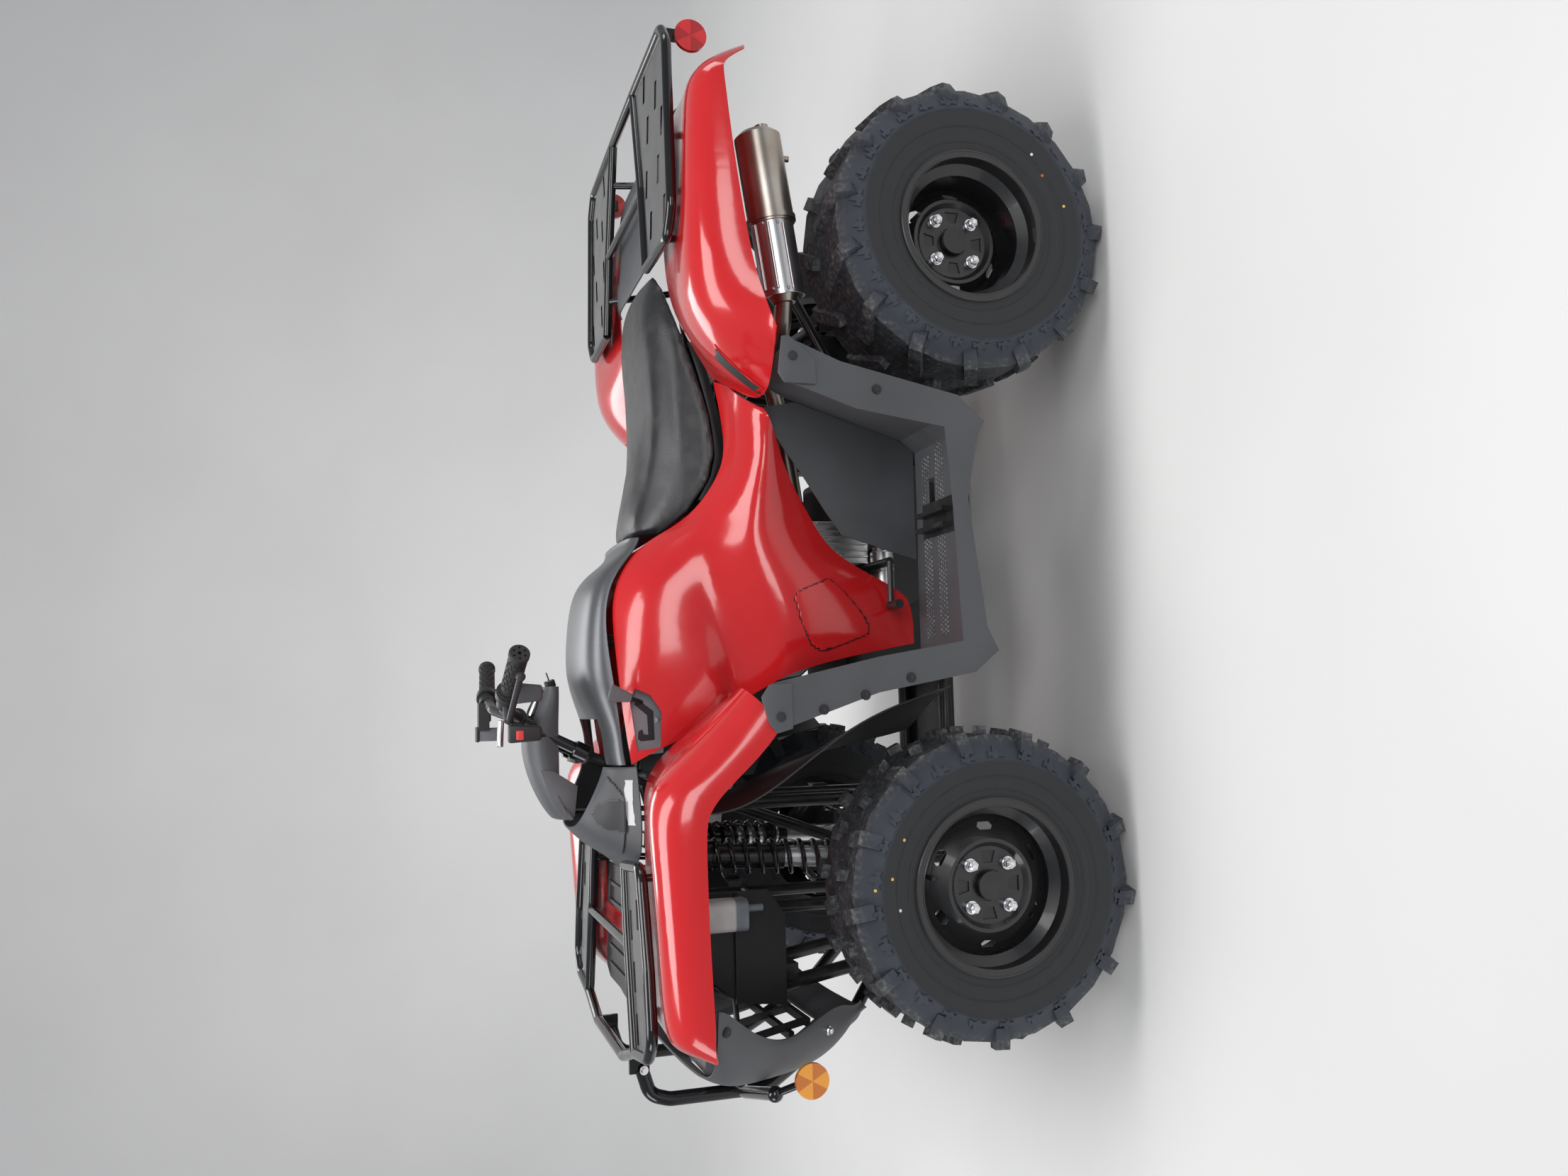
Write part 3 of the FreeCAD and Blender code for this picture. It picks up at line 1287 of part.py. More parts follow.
SEAT_STATIONS = (
    (-84, 150, 836, 100, 896), (-126, 196, 786, 118, 890), (-188, 221, 746, 140, 872),
    (-250, 231, 734, 150, 862), (-330, 227, 744, 154, 858), (-426, 216, 770, 150, 862),
    (-536, 200, 806, 142, 872), (-612, 172, 828, 118, 870), (-650, 130, 836, 92, 856),
)


def seat_shape():
    wires = []
    for x, low_half, low, high_half, high in SEAT_STATIONS:
        middle = (low + high) / 2
        points = [(-low_half, low), (low_half, low), (low_half + 3, low + 14),
                  ((low_half + high_half) / 2 + 12, middle + 8), (high_half, high - 3),
                  (high_half * 0.5, high + 3), (0, high + 4), (-high_half * 0.5, high + 3),
                  (-high_half, high - 3), (-(low_half + high_half) / 2 - 12, middle + 8),
                  (-low_half - 3, low + 14)]
        wires.append(Part.makePolygon([at(x, y, z) for y, z in points + points[:1]]))
    parts = [Part.makeLoft(wires, True, True)]
    foot = 690.0 + tube_r - 1.0 + value("seat_gap")
    for x in (-150, -400):
        for way in (1.0, -1.0):
            parts.append(Part.makeCylinder(12.0, 800.0 - foot, Vector(along(x), way * rail, foot)))
    return joined(parts)


solid("seat", seat_shape())

# Decks under the racks

def front_deck_shape():
    plate = outline_solid([at(x, y, 888) for x, y in (
        (622, -254), (800, -254), (862, -246), (880, -205), (880, 205), (862, 246), (800, 254),
        (622, 254))], Vector(0, 0, value("panel_wall")))
    ribs = [Part.makeBox(8.0, 360.0, 6.0, Vector(along(x), -180.0, at(0, 0, 888).z
                                                 + value("panel_wall") - 0.5))
            for x in (660, 700, 760, 800, 840)]
    return biggest(joined([plate] + ribs).cut(pieces["front_fenders"].Shape))


solid("front_deck", front_deck_shape())
deck_band = Part.makeBox(38.0, 2 * at(0, 226, 0).y, 9.0, at(714, -226, 887))
solid("deck_inserts", deck_band.cut(pieces["front_deck"].Shape))

REAR_DECK = ((-664, 236, 838, 852), (-760, 240, 838, 850), (-862, 242, 836, 848),
             (-925, 246, 828, 840), (-985, 252, 786, 800), (-1000, 254, 720, 738))
DECK_PROFILE = ((-1.0, 0.0), (-0.8, 0.9), (-0.4, 1.0), (0.0, 1.0), (0.4, 1.0), (0.8, 0.9),
                (1.0, 0.0))

# Racks

RACK_RING = ((585, 196), (572, 352), (750, 417), (866, 440), (906, 402), (925, 280), (962, 150))
RACK_INNER = ((585, 196), (714, 221), (925, 280))
RACK_SLOTS = ((874, 312), (782, 290), (803, 385), (730, 372), (662, 322), (690, 262))


def rack_plate(corners, height, slots, slot_angle):
    """A flat plate between the rack's tubes with long rounded slots."""
    wall = value("rack_plate_wall")
    plate = outline_solid([at(x, y, 0) + Vector(0, 0, height) for x, y in corners],
                          Vector(0, 0, wall))
    for x, y in slots:
        slot = Part.makeBox(56.0, 18.0, 20.0, Vector(-28.0, -9.0, -8.0))
        slot.rotate(Vector(0, 0, 0), Vector(0, 0, 1), slot_angle)
        slot.translate(at(x, y, 0) + Vector(0, 0, height))
        plate = plate.cut(slot)
    return plate


def front_rack_shape():
    radius = value("rack_tube")
    height = value("deck_height") + 2.0

    def place(x, y):
        return Vector(along(x), at(0, y, 0).y, height)

    left = [place(x, y) for x, y in RACK_RING]
    right = [Vector(p.x, -p.y, p.z) for p in reversed(left)]
    parts = [tube(left + right, radius, 38.0)]
    inner = [place(x, y) for x, y in RACK_INNER]
    plate = rack_plate(RACK_RING[:-1], height - 2.0, RACK_SLOTS, 12.0)
    side_parts = [tube(inner, radius, 60.0), plate]
    parts += side_parts + [mirrored(part) for part in side_parts]
    parts.append(rod(place(733, -226), place(733, 226), radius - 1.0))
    for way in (1.0, -1.0):
        tab = Part.makeBox(34.0, 10.0, 40.0, Vector(along(962) - 4.0, way * 176.0 - 5.0,
                                                    height - 46.0))
        parts.append(tab)
        foot = Vector(along(612), way * rail, 772.0)
        knee = Vector(along(612), place(612, way * 201).y, 850.0)
        parts.append(tube([place(612, way * 201), knee, foot], 8.0, 40.0))
    return biggest(joined(parts).cut(pieces["frame"].Shape))


solid("front_rack", front_rack_shape())

REAR_RING = ((-622, 236), (-616, 436), (-662, 476), (-1000, 452), (-1046, 410), (-1052, 120))
REAR_INNER = ((-622, 236), (-804, 200), (-1046, 127))
REAR_SLOTS = ((-676, 423), (-690, 300), (-776, 373), (-790, 262), (-858, 410), (-899, 280),
              (-935, 358), (-1000, 248))


def rear_rack_shape():
    radius = value("rear_rack_tube")
    height = value("rear_rack_height") + 6.0

    def place(x, y):
        return Vector(along(x), at(0, y, 0).y, height)

    left = [place(x, y) for x, y in REAR_RING]
    right = [Vector(p.x, -p.y, p.z) for p in reversed(left)]
    parts = [tube(left + right, radius, 34.0)]
    inner = [place(x, y) for x, y in REAR_INNER]
    plate = rack_plate(REAR_RING[:-1] + REAR_INNER[:0:-1], height - 2.0, REAR_SLOTS, -8.0)
    side_parts = [tube(inner, radius, 60.0), plate]
    parts += side_parts + [mirrored(part) for part in side_parts]
    parts.append(rod(place(-804, -200), place(-804, 200), radius - 1.0))
    for way in (1.0, -1.0):
        face = at(0, 424, 0).y - value("seat_gap")
        low = min(way * face, way * (face - 4.0))
        parts.append(Part.makeBox(26.0, 4.0, height - 812.0, Vector(along(-1041), low, 812.0)))
        for x, y, foot_x, foot_z in ((-962, 152, -958, 770), (-700, 221, -700, 725)):
            parts.append(rod(place(x, way * y), Vector(along(foot_x), way * rail, foot_z), 8.0))
    return biggest(joined(parts).cut(pieces["frame"].Shape))


solid("rear_rack", rear_rack_shape())
rear_deck = drawn_panel(spread(REAR_DECK, DECK_PROFILE), value("panel_wall"), -1.0)
rear_deck = rear_deck.cut(pieces["rear_rack"].Shape)
solid("rear_deck", rear_deck)


def tail_light_shape():
    block = Part.makeBox(24.0, 60.0, 44.0, Vector(along(-1000) - 26.0, 130.0, 738.0))
    back = [edge for edge in block.Edges if abs(edge.CenterOfMass.x - along(-1026)) < 1]
    return biggest(block.makeFillet(8.0, back).cut(rear_deck))


both_sides("tail_lights", tail_light_shape())

# Front guard

GUARD_LINE = ((984, 176, 896), (1036, 176, 880), (1048, 176, 840), (1048, 176, 640),
              (930, 150, 440), (816, 115, 349))
GUARD_BAR = ((985, 428, 698), (1036, 230, 700))


def guard_shape():
    radius = value("guard_tube")

    def place(x, y, z):
        return Vector(along(x), at(0, y, 0).y, z)

    left = tube([place(*point) for point in GUARD_LINE], radius, 45.0)
    half_bar = [place(*point) for point in GUARD_BAR]
    other = [Vector(p.x, -p.y, p.z) for p in reversed(half_bar)]
    bar = tube(half_bar + other, radius - 2.0, 70.0)
    parts = [left, mirrored(left), bar]
    for way in (1.0, -1.0):
        end = place(985, way * 428, 698)
        parts.append(Part.makeSphere(radius + 1.0, end))
        foot = place(962, way * 457, 652)
        parts.append(rod(end, foot, 7.0))
        face = at(0, 464, 0).y - value("seat_gap")
        back = abs(foot.y) - 9.0
        parts.append(Part.makeCylinder(12.0, face - back, Vector(foot.x, way * back, foot.z - 2.0),
                                       Vector(0, way, 0)))
    shape = joined(parts)
    return biggest(shape.cut(pieces["frame"].Shape).cut(pieces["front_rack"].Shape))


solid("front_guard", guard_shape())

# Reflectors

def reflectors(label, x, y, z):
    """A round reflector on each side, facing outwards."""
    discs = []
    for side_name, side in SIDES:
        disc = doc.addObject("Part::Cylinder", label + "_" + side_name)
        disc.setExpression("Radius", "Sizes.reflector_radius")
        disc.setExpression("Height", "Sizes.reflector_wall")
        disc.Placement = Placement(Vector(along(x), at(0, y, 0).y * side, z), facing(side))
        discs.append(disc)
    pair = doc.addObject("Part::Compound", label)
    pair.Links = discs
    return keep(label, pair)


reflectors("front_reflectors", 957, 464, 640)
reflectors("rear_reflectors", -1028, 424, 822)

# Exhaust

MUFFLER_FRONT = (-505.0, 430.0, 642.0)
MUFFLER_REAR = (-845.0, 430.0, 692.0)
muffler_front = at(*MUFFLER_FRONT)
muffler_rear = at(*MUFFLER_REAR)
muffler_way = (muffler_rear - muffler_front).normalize()
muffler_length = muffler_front.distanceToPoint(muffler_rear)


def muffler_shape():
    radius = value("muffler_radius")
    cone = Part.makeCone(value("pipe_radius") + 4.0, radius - 6.0, 36.0, muffler_front, muffler_way)
    can = Part.makeCylinder(radius - 6.0, 120.0, muffler_front + muffler_way * 36.0, muffler_way)
    rear = Part.makeCylinder(radius, muffler_length - 156.0 - 10.0,
                             muffler_front + muffler_way * 156.0, muffler_way)
    cap = Part.makeCone(radius, radius - 12.0, 10.0, muffler_rear - muffler_way * 10.0,
                        muffler_way)
    band = Part.makeCylinder(radius + 3.0, 10.0, muffler_front + muffler_way * 160.0,
                             muffler_way)
    stub = Part.makeCylinder(6.0, 14.0, muffler_rear - muffler_way * 46.0
                             + Vector(0, 0, -radius + 2.0), Vector(0, 0, -1))
    outlet = Part.makeCylinder(14.0, 16.0, muffler_rear - Vector(0, 0, 12.0), muffler_way)
    return joined([cone, can, rear, cap, band, stub, outlet])




def shield_shape():
    """A curved sheet round the outer side of the can's front half."""
    inner = value("muffler_radius") - 6.0 + value("seat_gap")
    start = muffler_front + muffler_way * 10.0
    sleeve = Part.makeCylinder(inner + 2.0, 146.0, start, muffler_way)
    sleeve = sleeve.cut(Part.makeCylinder(inner, 200.0, start - muffler_way * 10.0, muffler_way))
    half = Part.makeBox(400.0, 100.0, 200.0, Vector(muffler_rear.x, muffler_front.y - 8.0, 580.0))
    sleeve = sleeve.common(half)
    for k in range(3):
        angle = math.radians(-10.0 + 40.0 * k)
        ridge = start + Vector(0, math.cos(angle), math.sin(angle)) * (inner + 3.3)
        sleeve = sleeve.fuse(Part.makeCylinder(3.0, 130.0, ridge + muffler_way * 8.0, muffler_way))
    return sleeve.removeSplitter()


solid("muffler_shield", shield_shape())

PIPE_LINE = ((120, 30, 600), (190, 60, 590), (200, 170, 575), (100, 222, 560), (-110, 226, 560),
             (-300, 262, 600), (-400, 285, 632), (-462, 400, 640), (-505, 430, 642))


def pipe_shape():
    points = [at(*point) for point in PIPE_LINE[:-1]]
    points.append(muffler_front + muffler_way * 8.0)
    pipe = tube(points, value("pipe_radius"), 60.0)
    return pipe.cut(pieces["engine"].Shape)


solid("exhaust", joined([muffler_shape(), pipe_shape()]))

# Swing arm with the axle's housing, brake drum and hitch

def swing_arm_shape():
    axle = Vector(rear_axle, 0, rear_axle_height)
    housing = Part.makeCylinder(value("axle_housing"), 300.0, axle - Vector(0, 150, 0),
                                Vector(0, 1, 0))
    gear = Part.makeCylinder(92.0, 70.0, axle + Vector(0, 20, 0), Vector(0, 1, 0))
    drum = Part.makeCylinder(88.0, 60.0, axle - Vector(0, 210, 0), Vector(0, 1, 0))
    parts = [housing, gear, drum]
    pivot_x, pivot_z = SWING_PIVOT
    for way in (1.0, -1.0):
        parts.append(rod(Vector(rear_axle + 20, way * 60.0, rear_axle_height),
                         Vector(along(pivot_x), way * 60.0, pivot_z), 22.0))
    parts.append(Part.makeCylinder(24.0, 2 * SWING_HALF,
                                   Vector(along(pivot_x), -SWING_HALF, pivot_z), Vector(0, 1, 0)))
    parts += shock_bracket(rear_foot, -1.0, rear_axle_height + 5.0)
    bracket_foot = value("hitch_height") + value("hitch_wall") + value("seat_gap")
    parts.append(Part.makeBox(110.0, 44.0, rear_axle_height - bracket_foot,
                              Vector(rear_axle - 134.0, -22.0, bracket_foot)))
    shape = joined(parts)
    bore = Part.makeCylinder(value("axle_radius") + value("running_gap"), 600.0,
                             axle - Vector(0, 300, 0), Vector(0, 1, 0))
    return shape.cut(bore)


solid("swing_arm", swing_arm_shape())


def hitch_plate():
    body = new_body("hitch_plate")
    sketch = outline_sketch(body, "XY_Plane", [(0.0, -45.0), (-90.0, -34.0), (-112.0, -16.0),
                                               (-112.0, 16.0), (-90.0, 34.0), (0.0, 45.0)])
    pad = body.newObject("PartDesign::Pad", "hitch_pad")
    pad.Profile = sketch
    pad.setExpression("Length", "Sizes.hitch_wall")
    round_sketch = body.newObject("Sketcher::SketchObject", "hitch_hole_outline")
    round_sketch.AttachmentSupport = [(plane_of(body, "XY_Plane"), "")]
    round_sketch.MapMode = "FlatFace"
    round_sketch.addGeometry(Part.Circle(Vector(-88, 0, 0), Vector(0, 0, 1),
                                         value("hitch_hole")), False)
    index = round_sketch.addConstraint(Sketcher.Constraint("Radius", 0, value("hitch_hole")))
    round_sketch.setExpression("Constraints[%d]" % index, "Sizes.hitch_hole")
    cut = body.newObject("PartDesign::Pocket", "hitch_cut")
    cut.Profile = round_sketch
    cut.Type = "ThroughAll"
    cut.Midplane = True
    body.Placement = Placement(Vector(rear_axle - 94.0, 0, value("hitch_height")), Rotation())


hitch_plate()

rear_shock = shock_shape(rear_top, rear_foot, 36.0, 30.0, 170.0, REAR_EYE, Vector(0, 1, 0))
solid("rear_shock", rear_shock)

# Foot controls and the selector lever

PEDAL_LINE = 348.8


def gear_pedal_shape():
    """Shaft out of the engine's side, an arm outside the cover and the pedal's pad."""
    face = 195.0 + value("seat_gap")
    reach = at(0, PEDAL_LINE, 0).y
    shaft = Part.makeCylinder(9.0, reach - face, Vector(along(-10), face, 404.0),
                              Vector(0, 1, 0))
    arm = rod(Vector(along(-10), reach, 404.0), Vector(along(78), reach, 404.0), 6.0)
    pad = Part.makeCylinder(9.0, 50.0, Vector(along(80), reach - 5.0, 404.0),
                            Vector(0, 1, 0))
    return joined([shaft, arm, pad])


def brake_pedal_shape():
    """The right foot's brake: a pivot in the engine's side, a longer arm and a flat pad."""
    face = 185.0 + value("seat_gap")
    reach = at(0, PEDAL_LINE, 0).y
    shaft = Part.makeCylinder(10.0, reach - face, Vector(along(8), -face, 392.0),
                              Vector(0, -1, 0))
    arm = rod(Vector(along(8), -reach, 392.0), Vector(along(104), -reach, 412.0), 6.0)
    pad = Part.makeBox(46.0, 64.0, 8.0, Vector(along(84), -reach - 58.0, 414.0))
    return joined([shaft, arm, pad])


solid("gear_pedal", gear_pedal_shape())
solid("brake_pedal", brake_pedal_shape())

# Stays between the frame and the panels: each runs from a tube's axis to past its panel,
# and the cuts end it on both.

STAYS = (
    ("inner_panels", ((436, 115, 826), (455, 330, 790))),
    ("inner_panels", ((760, 115, 754), (760, 240, 754))),
    ("rear_fenders", ((-600, 115, 707), (-600, 320, 890))),
    ("side_covers", ((44, 115, 724), (44, 320, 765))),
    ("front_fenders", ((638, 115, 770), (638, 300, 912))),
    ("cowl", ((500, 115, 808), (500, 156, 1010))),
    ("tank_cover", ((130, 115, 752), (130, 150, 1030))),
    ("front_fascia", ((866, 115, 687), (1020, 160, 687))),
    ("radiator", ((868, 115, 660), (832, 115, 660))),
    ("footwells", ((-180, 115, 182), (-180, 270, 182), (-180, 400, 360))),
    ("footwells", ((120, 115, 182), (120, 270, 182), (120, 400, 360))),
)


def stays_shape():
    stays = []
    for carried, line in STAYS:
        points = [at(*point) for point in line]
        points[0].y = rail
        bar = tube(points, 8.0, 60.0) if len(points) > 2 else rod(points[0], points[1], 6.0)
        bar = biggest(bar.cut(pieces["frame"].Shape).cut(pieces[carried].Shape))
        stays.append(bar)
    return Part.makeCompound(stays)


both_sides("panel_stays", stays_shape())

doc.recompute()

failed = [item.Label for item in doc.Objects
          if "Invalid" in item.State or "Error" in item.State]
if failed:
    raise RuntimeError("features that failed: " + ", ".join(failed))
os.makedirs("parts", exist_ok=True)
unsound = [label for label, piece in pieces.items()
           if piece.Shape.isNull() or not piece.Shape.isValid() or not piece.Shape.Solids]
if unsound:
    raise RuntimeError("pieces with no valid shape: " + ", ".join(unsound))
for label, piece in pieces.items():
    piece.Shape.exportStep("parts/%s.step" % label)
print(len(pieces), "pieces")
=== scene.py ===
import math

import bpy
from mathutils import Matrix, Vector


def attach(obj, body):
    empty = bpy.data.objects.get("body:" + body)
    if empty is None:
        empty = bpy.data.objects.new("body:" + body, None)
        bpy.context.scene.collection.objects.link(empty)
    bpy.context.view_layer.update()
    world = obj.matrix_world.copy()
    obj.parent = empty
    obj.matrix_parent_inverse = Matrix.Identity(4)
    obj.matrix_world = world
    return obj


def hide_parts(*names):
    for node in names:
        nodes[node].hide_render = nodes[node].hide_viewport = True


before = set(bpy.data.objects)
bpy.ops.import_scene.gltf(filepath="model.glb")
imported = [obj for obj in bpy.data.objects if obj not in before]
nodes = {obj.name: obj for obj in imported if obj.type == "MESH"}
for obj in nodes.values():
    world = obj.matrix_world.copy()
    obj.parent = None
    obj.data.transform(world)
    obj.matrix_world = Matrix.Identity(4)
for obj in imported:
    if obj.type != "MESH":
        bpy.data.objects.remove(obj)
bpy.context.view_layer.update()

# The room: a plain pale floor that bends up into a backdrop, soft lamps above and at both
# ends, and a camera that looks at the left side from a standing height, turned on its side.

floor_size = 14.0
backdrop_height = 6.0
backdrop_place = -4.2
backdrop_bend = 1.2
room_light = 0.35
room_seen = 0.8
camera_place = (0.2767, 2.6767, 1.3802)
camera_right = Vector((-0.9953, 0.0970, 0.0052))
camera_up = Vector((-0.0246, -0.3038, 0.9524))
camera_ahead = Vector((-0.0940, -0.9478, -0.3048))
focal_pixels = 1751.3
frame_pixels = 2212
sensor = 36.0


def leave_selection():
    bpy.ops.object.select_all(action="DESELECT")


def fixed():
    """Puts the active piece's place, turn and size into its mesh."""
    bpy.ops.object.transform_apply(location=True, rotation=True, scale=True)


def edit(kind, pick="SELECT"):
    """Opens the active piece by its corners, edges or faces, with all or none picked."""
    bpy.ops.object.mode_set(mode="EDIT")
    bpy.ops.mesh.select_mode(type=kind)
    bpy.ops.mesh.select_all(action=pick)


def close():
    bpy.ops.object.mode_set(mode="OBJECT")


def extrude(way):
    bpy.ops.mesh.extrude_region_move(TRANSFORM_OT_translate={"value": way})


def worked(piece, kind, **settings):
    """Puts the active piece through one change with these settings."""
    change = piece.modifiers.new("change", kind)
    for key, value in settings.items():
        setattr(change, key, value)
    bpy.ops.object.modifier_apply(modifier="change")


def surface(name, colour, roughness, metallic=0.0, coat=0.0):
    """A material with one shader, its even values set on the shader itself."""
    material = bpy.data.materials.new(name)
    material.use_nodes = True
    shader = material.node_tree.nodes["Principled BSDF"]
    shader.inputs["Base Color"].default_value = (*colour, 1.0)
    shader.inputs["Roughness"].default_value = roughness
    shader.inputs["Metallic"].default_value = metallic
    shader.inputs["Coat Weight"].default_value = coat
    shader.inputs["Coat Roughness"].default_value = 0.08
    return material


def own_place(material, **shift):
    """The piece's own Object coordinates, moved, turned or stretched."""
    tree = material.node_tree
    place = tree.nodes.new("ShaderNodeTexCoord")
    fit = tree.nodes.new("ShaderNodeMapping")
    for key, value in shift.items():
        fit.inputs[key].default_value = value
    tree.links.new(place.outputs["Object"], fit.inputs["Vector"])
    return fit.outputs["Vector"]


def noise(material, scale, detail=4.0, stretch=(1.0, 1.0, 1.0)):
    """Noise on the piece's own coordinates, in lumps per metre."""
    tree = material.node_tree
    grain = tree.nodes.new("ShaderNodeTexNoise")
    grain.inputs["Scale"].default_value = scale
    grain.inputs["Detail"].default_value = detail
    tree.links.new(own_place(material, Scale=stretch), grain.inputs["Vector"])
    return grain.outputs["Fac"]


def ramp(material, source, *stops):
    """Turns a value into a tone through stops, each a place and a colour or a grey."""
    tree = material.node_tree
    node = tree.nodes.new("ShaderNodeValToRGB")
    bar = node.color_ramp
    while len(bar.elements) < len(stops):
        bar.elements.new(0.5)
    for element, (place, tone) in zip(bar.elements, stops):
        element.position = place
        element.color = (*tone, 1.0) if isinstance(tone, tuple) else (tone, tone, tone, 1.0)
    tree.links.new(source, node.inputs["Fac"])
    return node.outputs["Color"]


def feed(material, socket, source):
    shader = material.node_tree.nodes["Principled BSDF"]
    material.node_tree.links.new(source, shader.inputs[socket])


def varied(material, socket, source, *stops):
    feed(material, socket, ramp(material, source, *stops))


leave_selection()
bpy.ops.mesh.primitive_plane_add(size=floor_size, location=(0.0, 0.0, 0.0))
floor = bpy.context.object
floor.name = "floor"
edit("VERT", "DESELECT")
close()
for edge in floor.data.edges:
    edge.select = all(floor.data.vertices[k].co.y < -1.0 for k in edge.vertices)
bpy.ops.object.mode_set(mode="EDIT")
bpy.ops.mesh.select_mode(type="EDGE")
extrude((0.0, 0.0, backdrop_height))
close()
for vertex in floor.data.vertices:
    if vertex.co.y < -1.0:
        vertex.co.y = backdrop_place
worked(floor, "BEVEL", width=backdrop_bend, segments=16, limit_method="ANGLE")
bpy.ops.object.shade_smooth()

concrete = surface("pale_floor", (0.84, 0.83, 0.81), 0.6)
varied(concrete, "Base Color", noise(concrete, 0.9, 6.0),
       (0.3, (0.82, 0.81, 0.795)), (0.7, (0.88, 0.87, 0.855)))
floor.data.materials.clear()
floor.data.materials.append(concrete)

world = bpy.data.worlds.new("room")
world.use_nodes = True
air = world.node_tree.nodes["Background"]
air.inputs["Color"].default_value = (0.80, 0.84, 0.9, 1.0)
seen = world.node_tree.nodes.new("ShaderNodeLightPath")
paler = world.node_tree.nodes.new("ShaderNodeMapRange")
paler.inputs["To Min"].default_value = room_light
paler.inputs["To Max"].default_value = room_seen
world.node_tree.links.new(seen.outputs["Is Camera Ray"], paler.inputs["Value"])
world.node_tree.links.new(paler.outputs["Result"], air.inputs["Strength"])
bpy.context.scene.world = world

lamps = (
    ("top_lamp", (0.3, 0.6, 3.4), (0.0, 0.0, 0.4), 3.0, 1.2, 62.0),
    ("side_lamp", (-0.8, 4.2, 2.4), (0.0, 0.0, 0.6), 2.6, 1.4, 55.0),
    ("front_lamp", (3.8, 1.6, 2.0), (0.4, 0.0, 0.6), 1.6, 1.6, 34.0),
    ("rear_lamp", (-3.9, 0.8, 2.2), (-0.4, 0.0, 0.6), 1.6, 1.6, 30.0),
    ("far_lamp", (0.2, -2.9, 3.0), (0.0, 0.0, 0.5), 2.4, 1.0, 34.0),
)
for name, place, target, wide, high, watts in lamps:
    leave_selection()
    bpy.ops.object.light_add(type="AREA", location=place)
    lamp = bpy.context.object
    lamp.name = name
    lamp.data.shape = "RECTANGLE"
    lamp.data.size = wide
    lamp.data.size_y = high
    lamp.data.energy = watts
    lamp.rotation_euler = (Vector(target) - Vector(place)).to_track_quat("-Z", "Y").to_euler()

leave_selection()
bpy.ops.object.camera_add(location=camera_place)
camera = bpy.context.object
camera.data.sensor_width = sensor
camera.data.lens = sensor * focal_pixels / frame_pixels
turn = Matrix((-camera_up, camera_right, -camera_ahead)).transposed()
camera.rotation_mode = "QUATERNION"
camera.rotation_quaternion = turn.to_quaternion()
camera.data.dof.use_dof = False
bpy.context.scene.camera = camera
bpy.context.scene.view_settings.view_transform = "Standard"

# Frame, arms, swing arm, stem, bar, pegs and pedals: welded steel in satin black enamel,
# with road dust dried on it. The knuckles are cast iron and the tie rods are zinc plated.


def dress(names, material):
    """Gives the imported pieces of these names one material."""
    for name in names:
        nodes[name].data.materials.clear()
        nodes[name].data.materials.append(material)


def raised(material, source, depth, strength, before=None):
    """Bump of the given depth in metres on the shader; before is another bump's output."""
    tree = material.node_tree
    bump = tree.nodes.new("ShaderNodeBump")
    bump.inputs["Strength"].default_value = strength
    bump.inputs["Distance"].default_value = depth
    tree.links.new(source, bump.inputs["Height"])
    if before is not None:
        tree.links.new(before, bump.inputs["Normal"])
    feed(material, "Normal", bump.outputs["Normal"])
    return bump.outputs["Normal"]


frame_black = surface("frame_black", (0.014, 0.014, 0.015), 0.36, coat=0.2)
dust = noise(frame_black, 22.0, 6.0)
varied(frame_black, "Roughness", dust, (0.35, 0.3), (0.7, 0.55))
varied(frame_black, "Base Color", dust, (0.45, (0.013, 0.013, 0.014)),
       (0.85, (0.035, 0.034, 0.032)))
dress(["frame", "front_arms", "swing_arm", "hitch_plate", "steering_stem", "handlebar",
       "foot_pegs", "gear_pedal", "brake_pedal", "panel_stays", "radiator", "front_hub_left",
       "front_hub_right", "rear_axle"], frame_black)
knuckle_iron = surface("knuckle_iron", (0.05, 0.05, 0.05), 0.6, metallic=0.4)
raised(knuckle_iron, noise(knuckle_iron, 400.0, 3.0), 0.0004, 0.5)
dress(["knuckle_left", "knuckle_right"], knuckle_iron)
plated_steel = surface("plated_steel", (0.5, 0.5, 0.51), 0.3, metallic=1.0)
varied(plated_steel, "Roughness", noise(plated_steel, 45.0, 5.0), (0.35, 0.22), (0.75, 0.42))
dress(["tie_rod_left", "tie_rod_right"], plated_steel)

# Engine: sand cast cases in a dark satin black. Past the left side cover show a ribbed barrel in
# bare alloy, the starter's polished case below it, and cap screws round the left cover.

rib_count = 7
rib_pitch = 0.0138
screw_circle = 0.082
screw_count = 8


def take(piece):
    """Makes a piece the active one, and the only one picked."""
    leave_selection()
    piece.select_set(True)
    bpy.context.view_layer.objects.active = piece


def settle(piece, name, body, material=None, angle=35.0):
    """Puts a finished piece's place into its mesh, names it and lets it ride."""
    take(piece)
    fixed()
    piece.name = name
    if material is not None:
        piece.data.materials.clear()
        piece.data.materials.append(material)
    bpy.ops.object.shade_smooth_by_angle(angle=math.radians(angle))
    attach(piece, body)
    return piece


def placed(model, matrix):
    """A twin of a model, with its own mesh, where the matrix puts it."""
    twin = model.copy()
    twin.data = model.data.copy()
    twin.data.transform(matrix)
    bpy.context.collection.objects.link(twin)
    return twin


def copied(model, place, direction, turn=0.0):
    """A twin of a model that stands on +Z, put down along a direction."""
    aim = Vector(direction).to_track_quat("Z", "Y").to_matrix().to_4x4()
    return placed(model, Matrix.Translation(Vector(place)) @ aim @ Matrix.Rotation(turn, 4, "Z"))


def gathered(parts):
    """Joins parts into the first of them."""
    leave_selection()
    for part in parts:
        part.select_set(True)
    bpy.context.view_layer.objects.active = parts[0]
    if len(parts) > 1:
        bpy.ops.object.join()
    return bpy.context.object


def put_away(model):
    bpy.data.objects.remove(model, do_unlink=True)


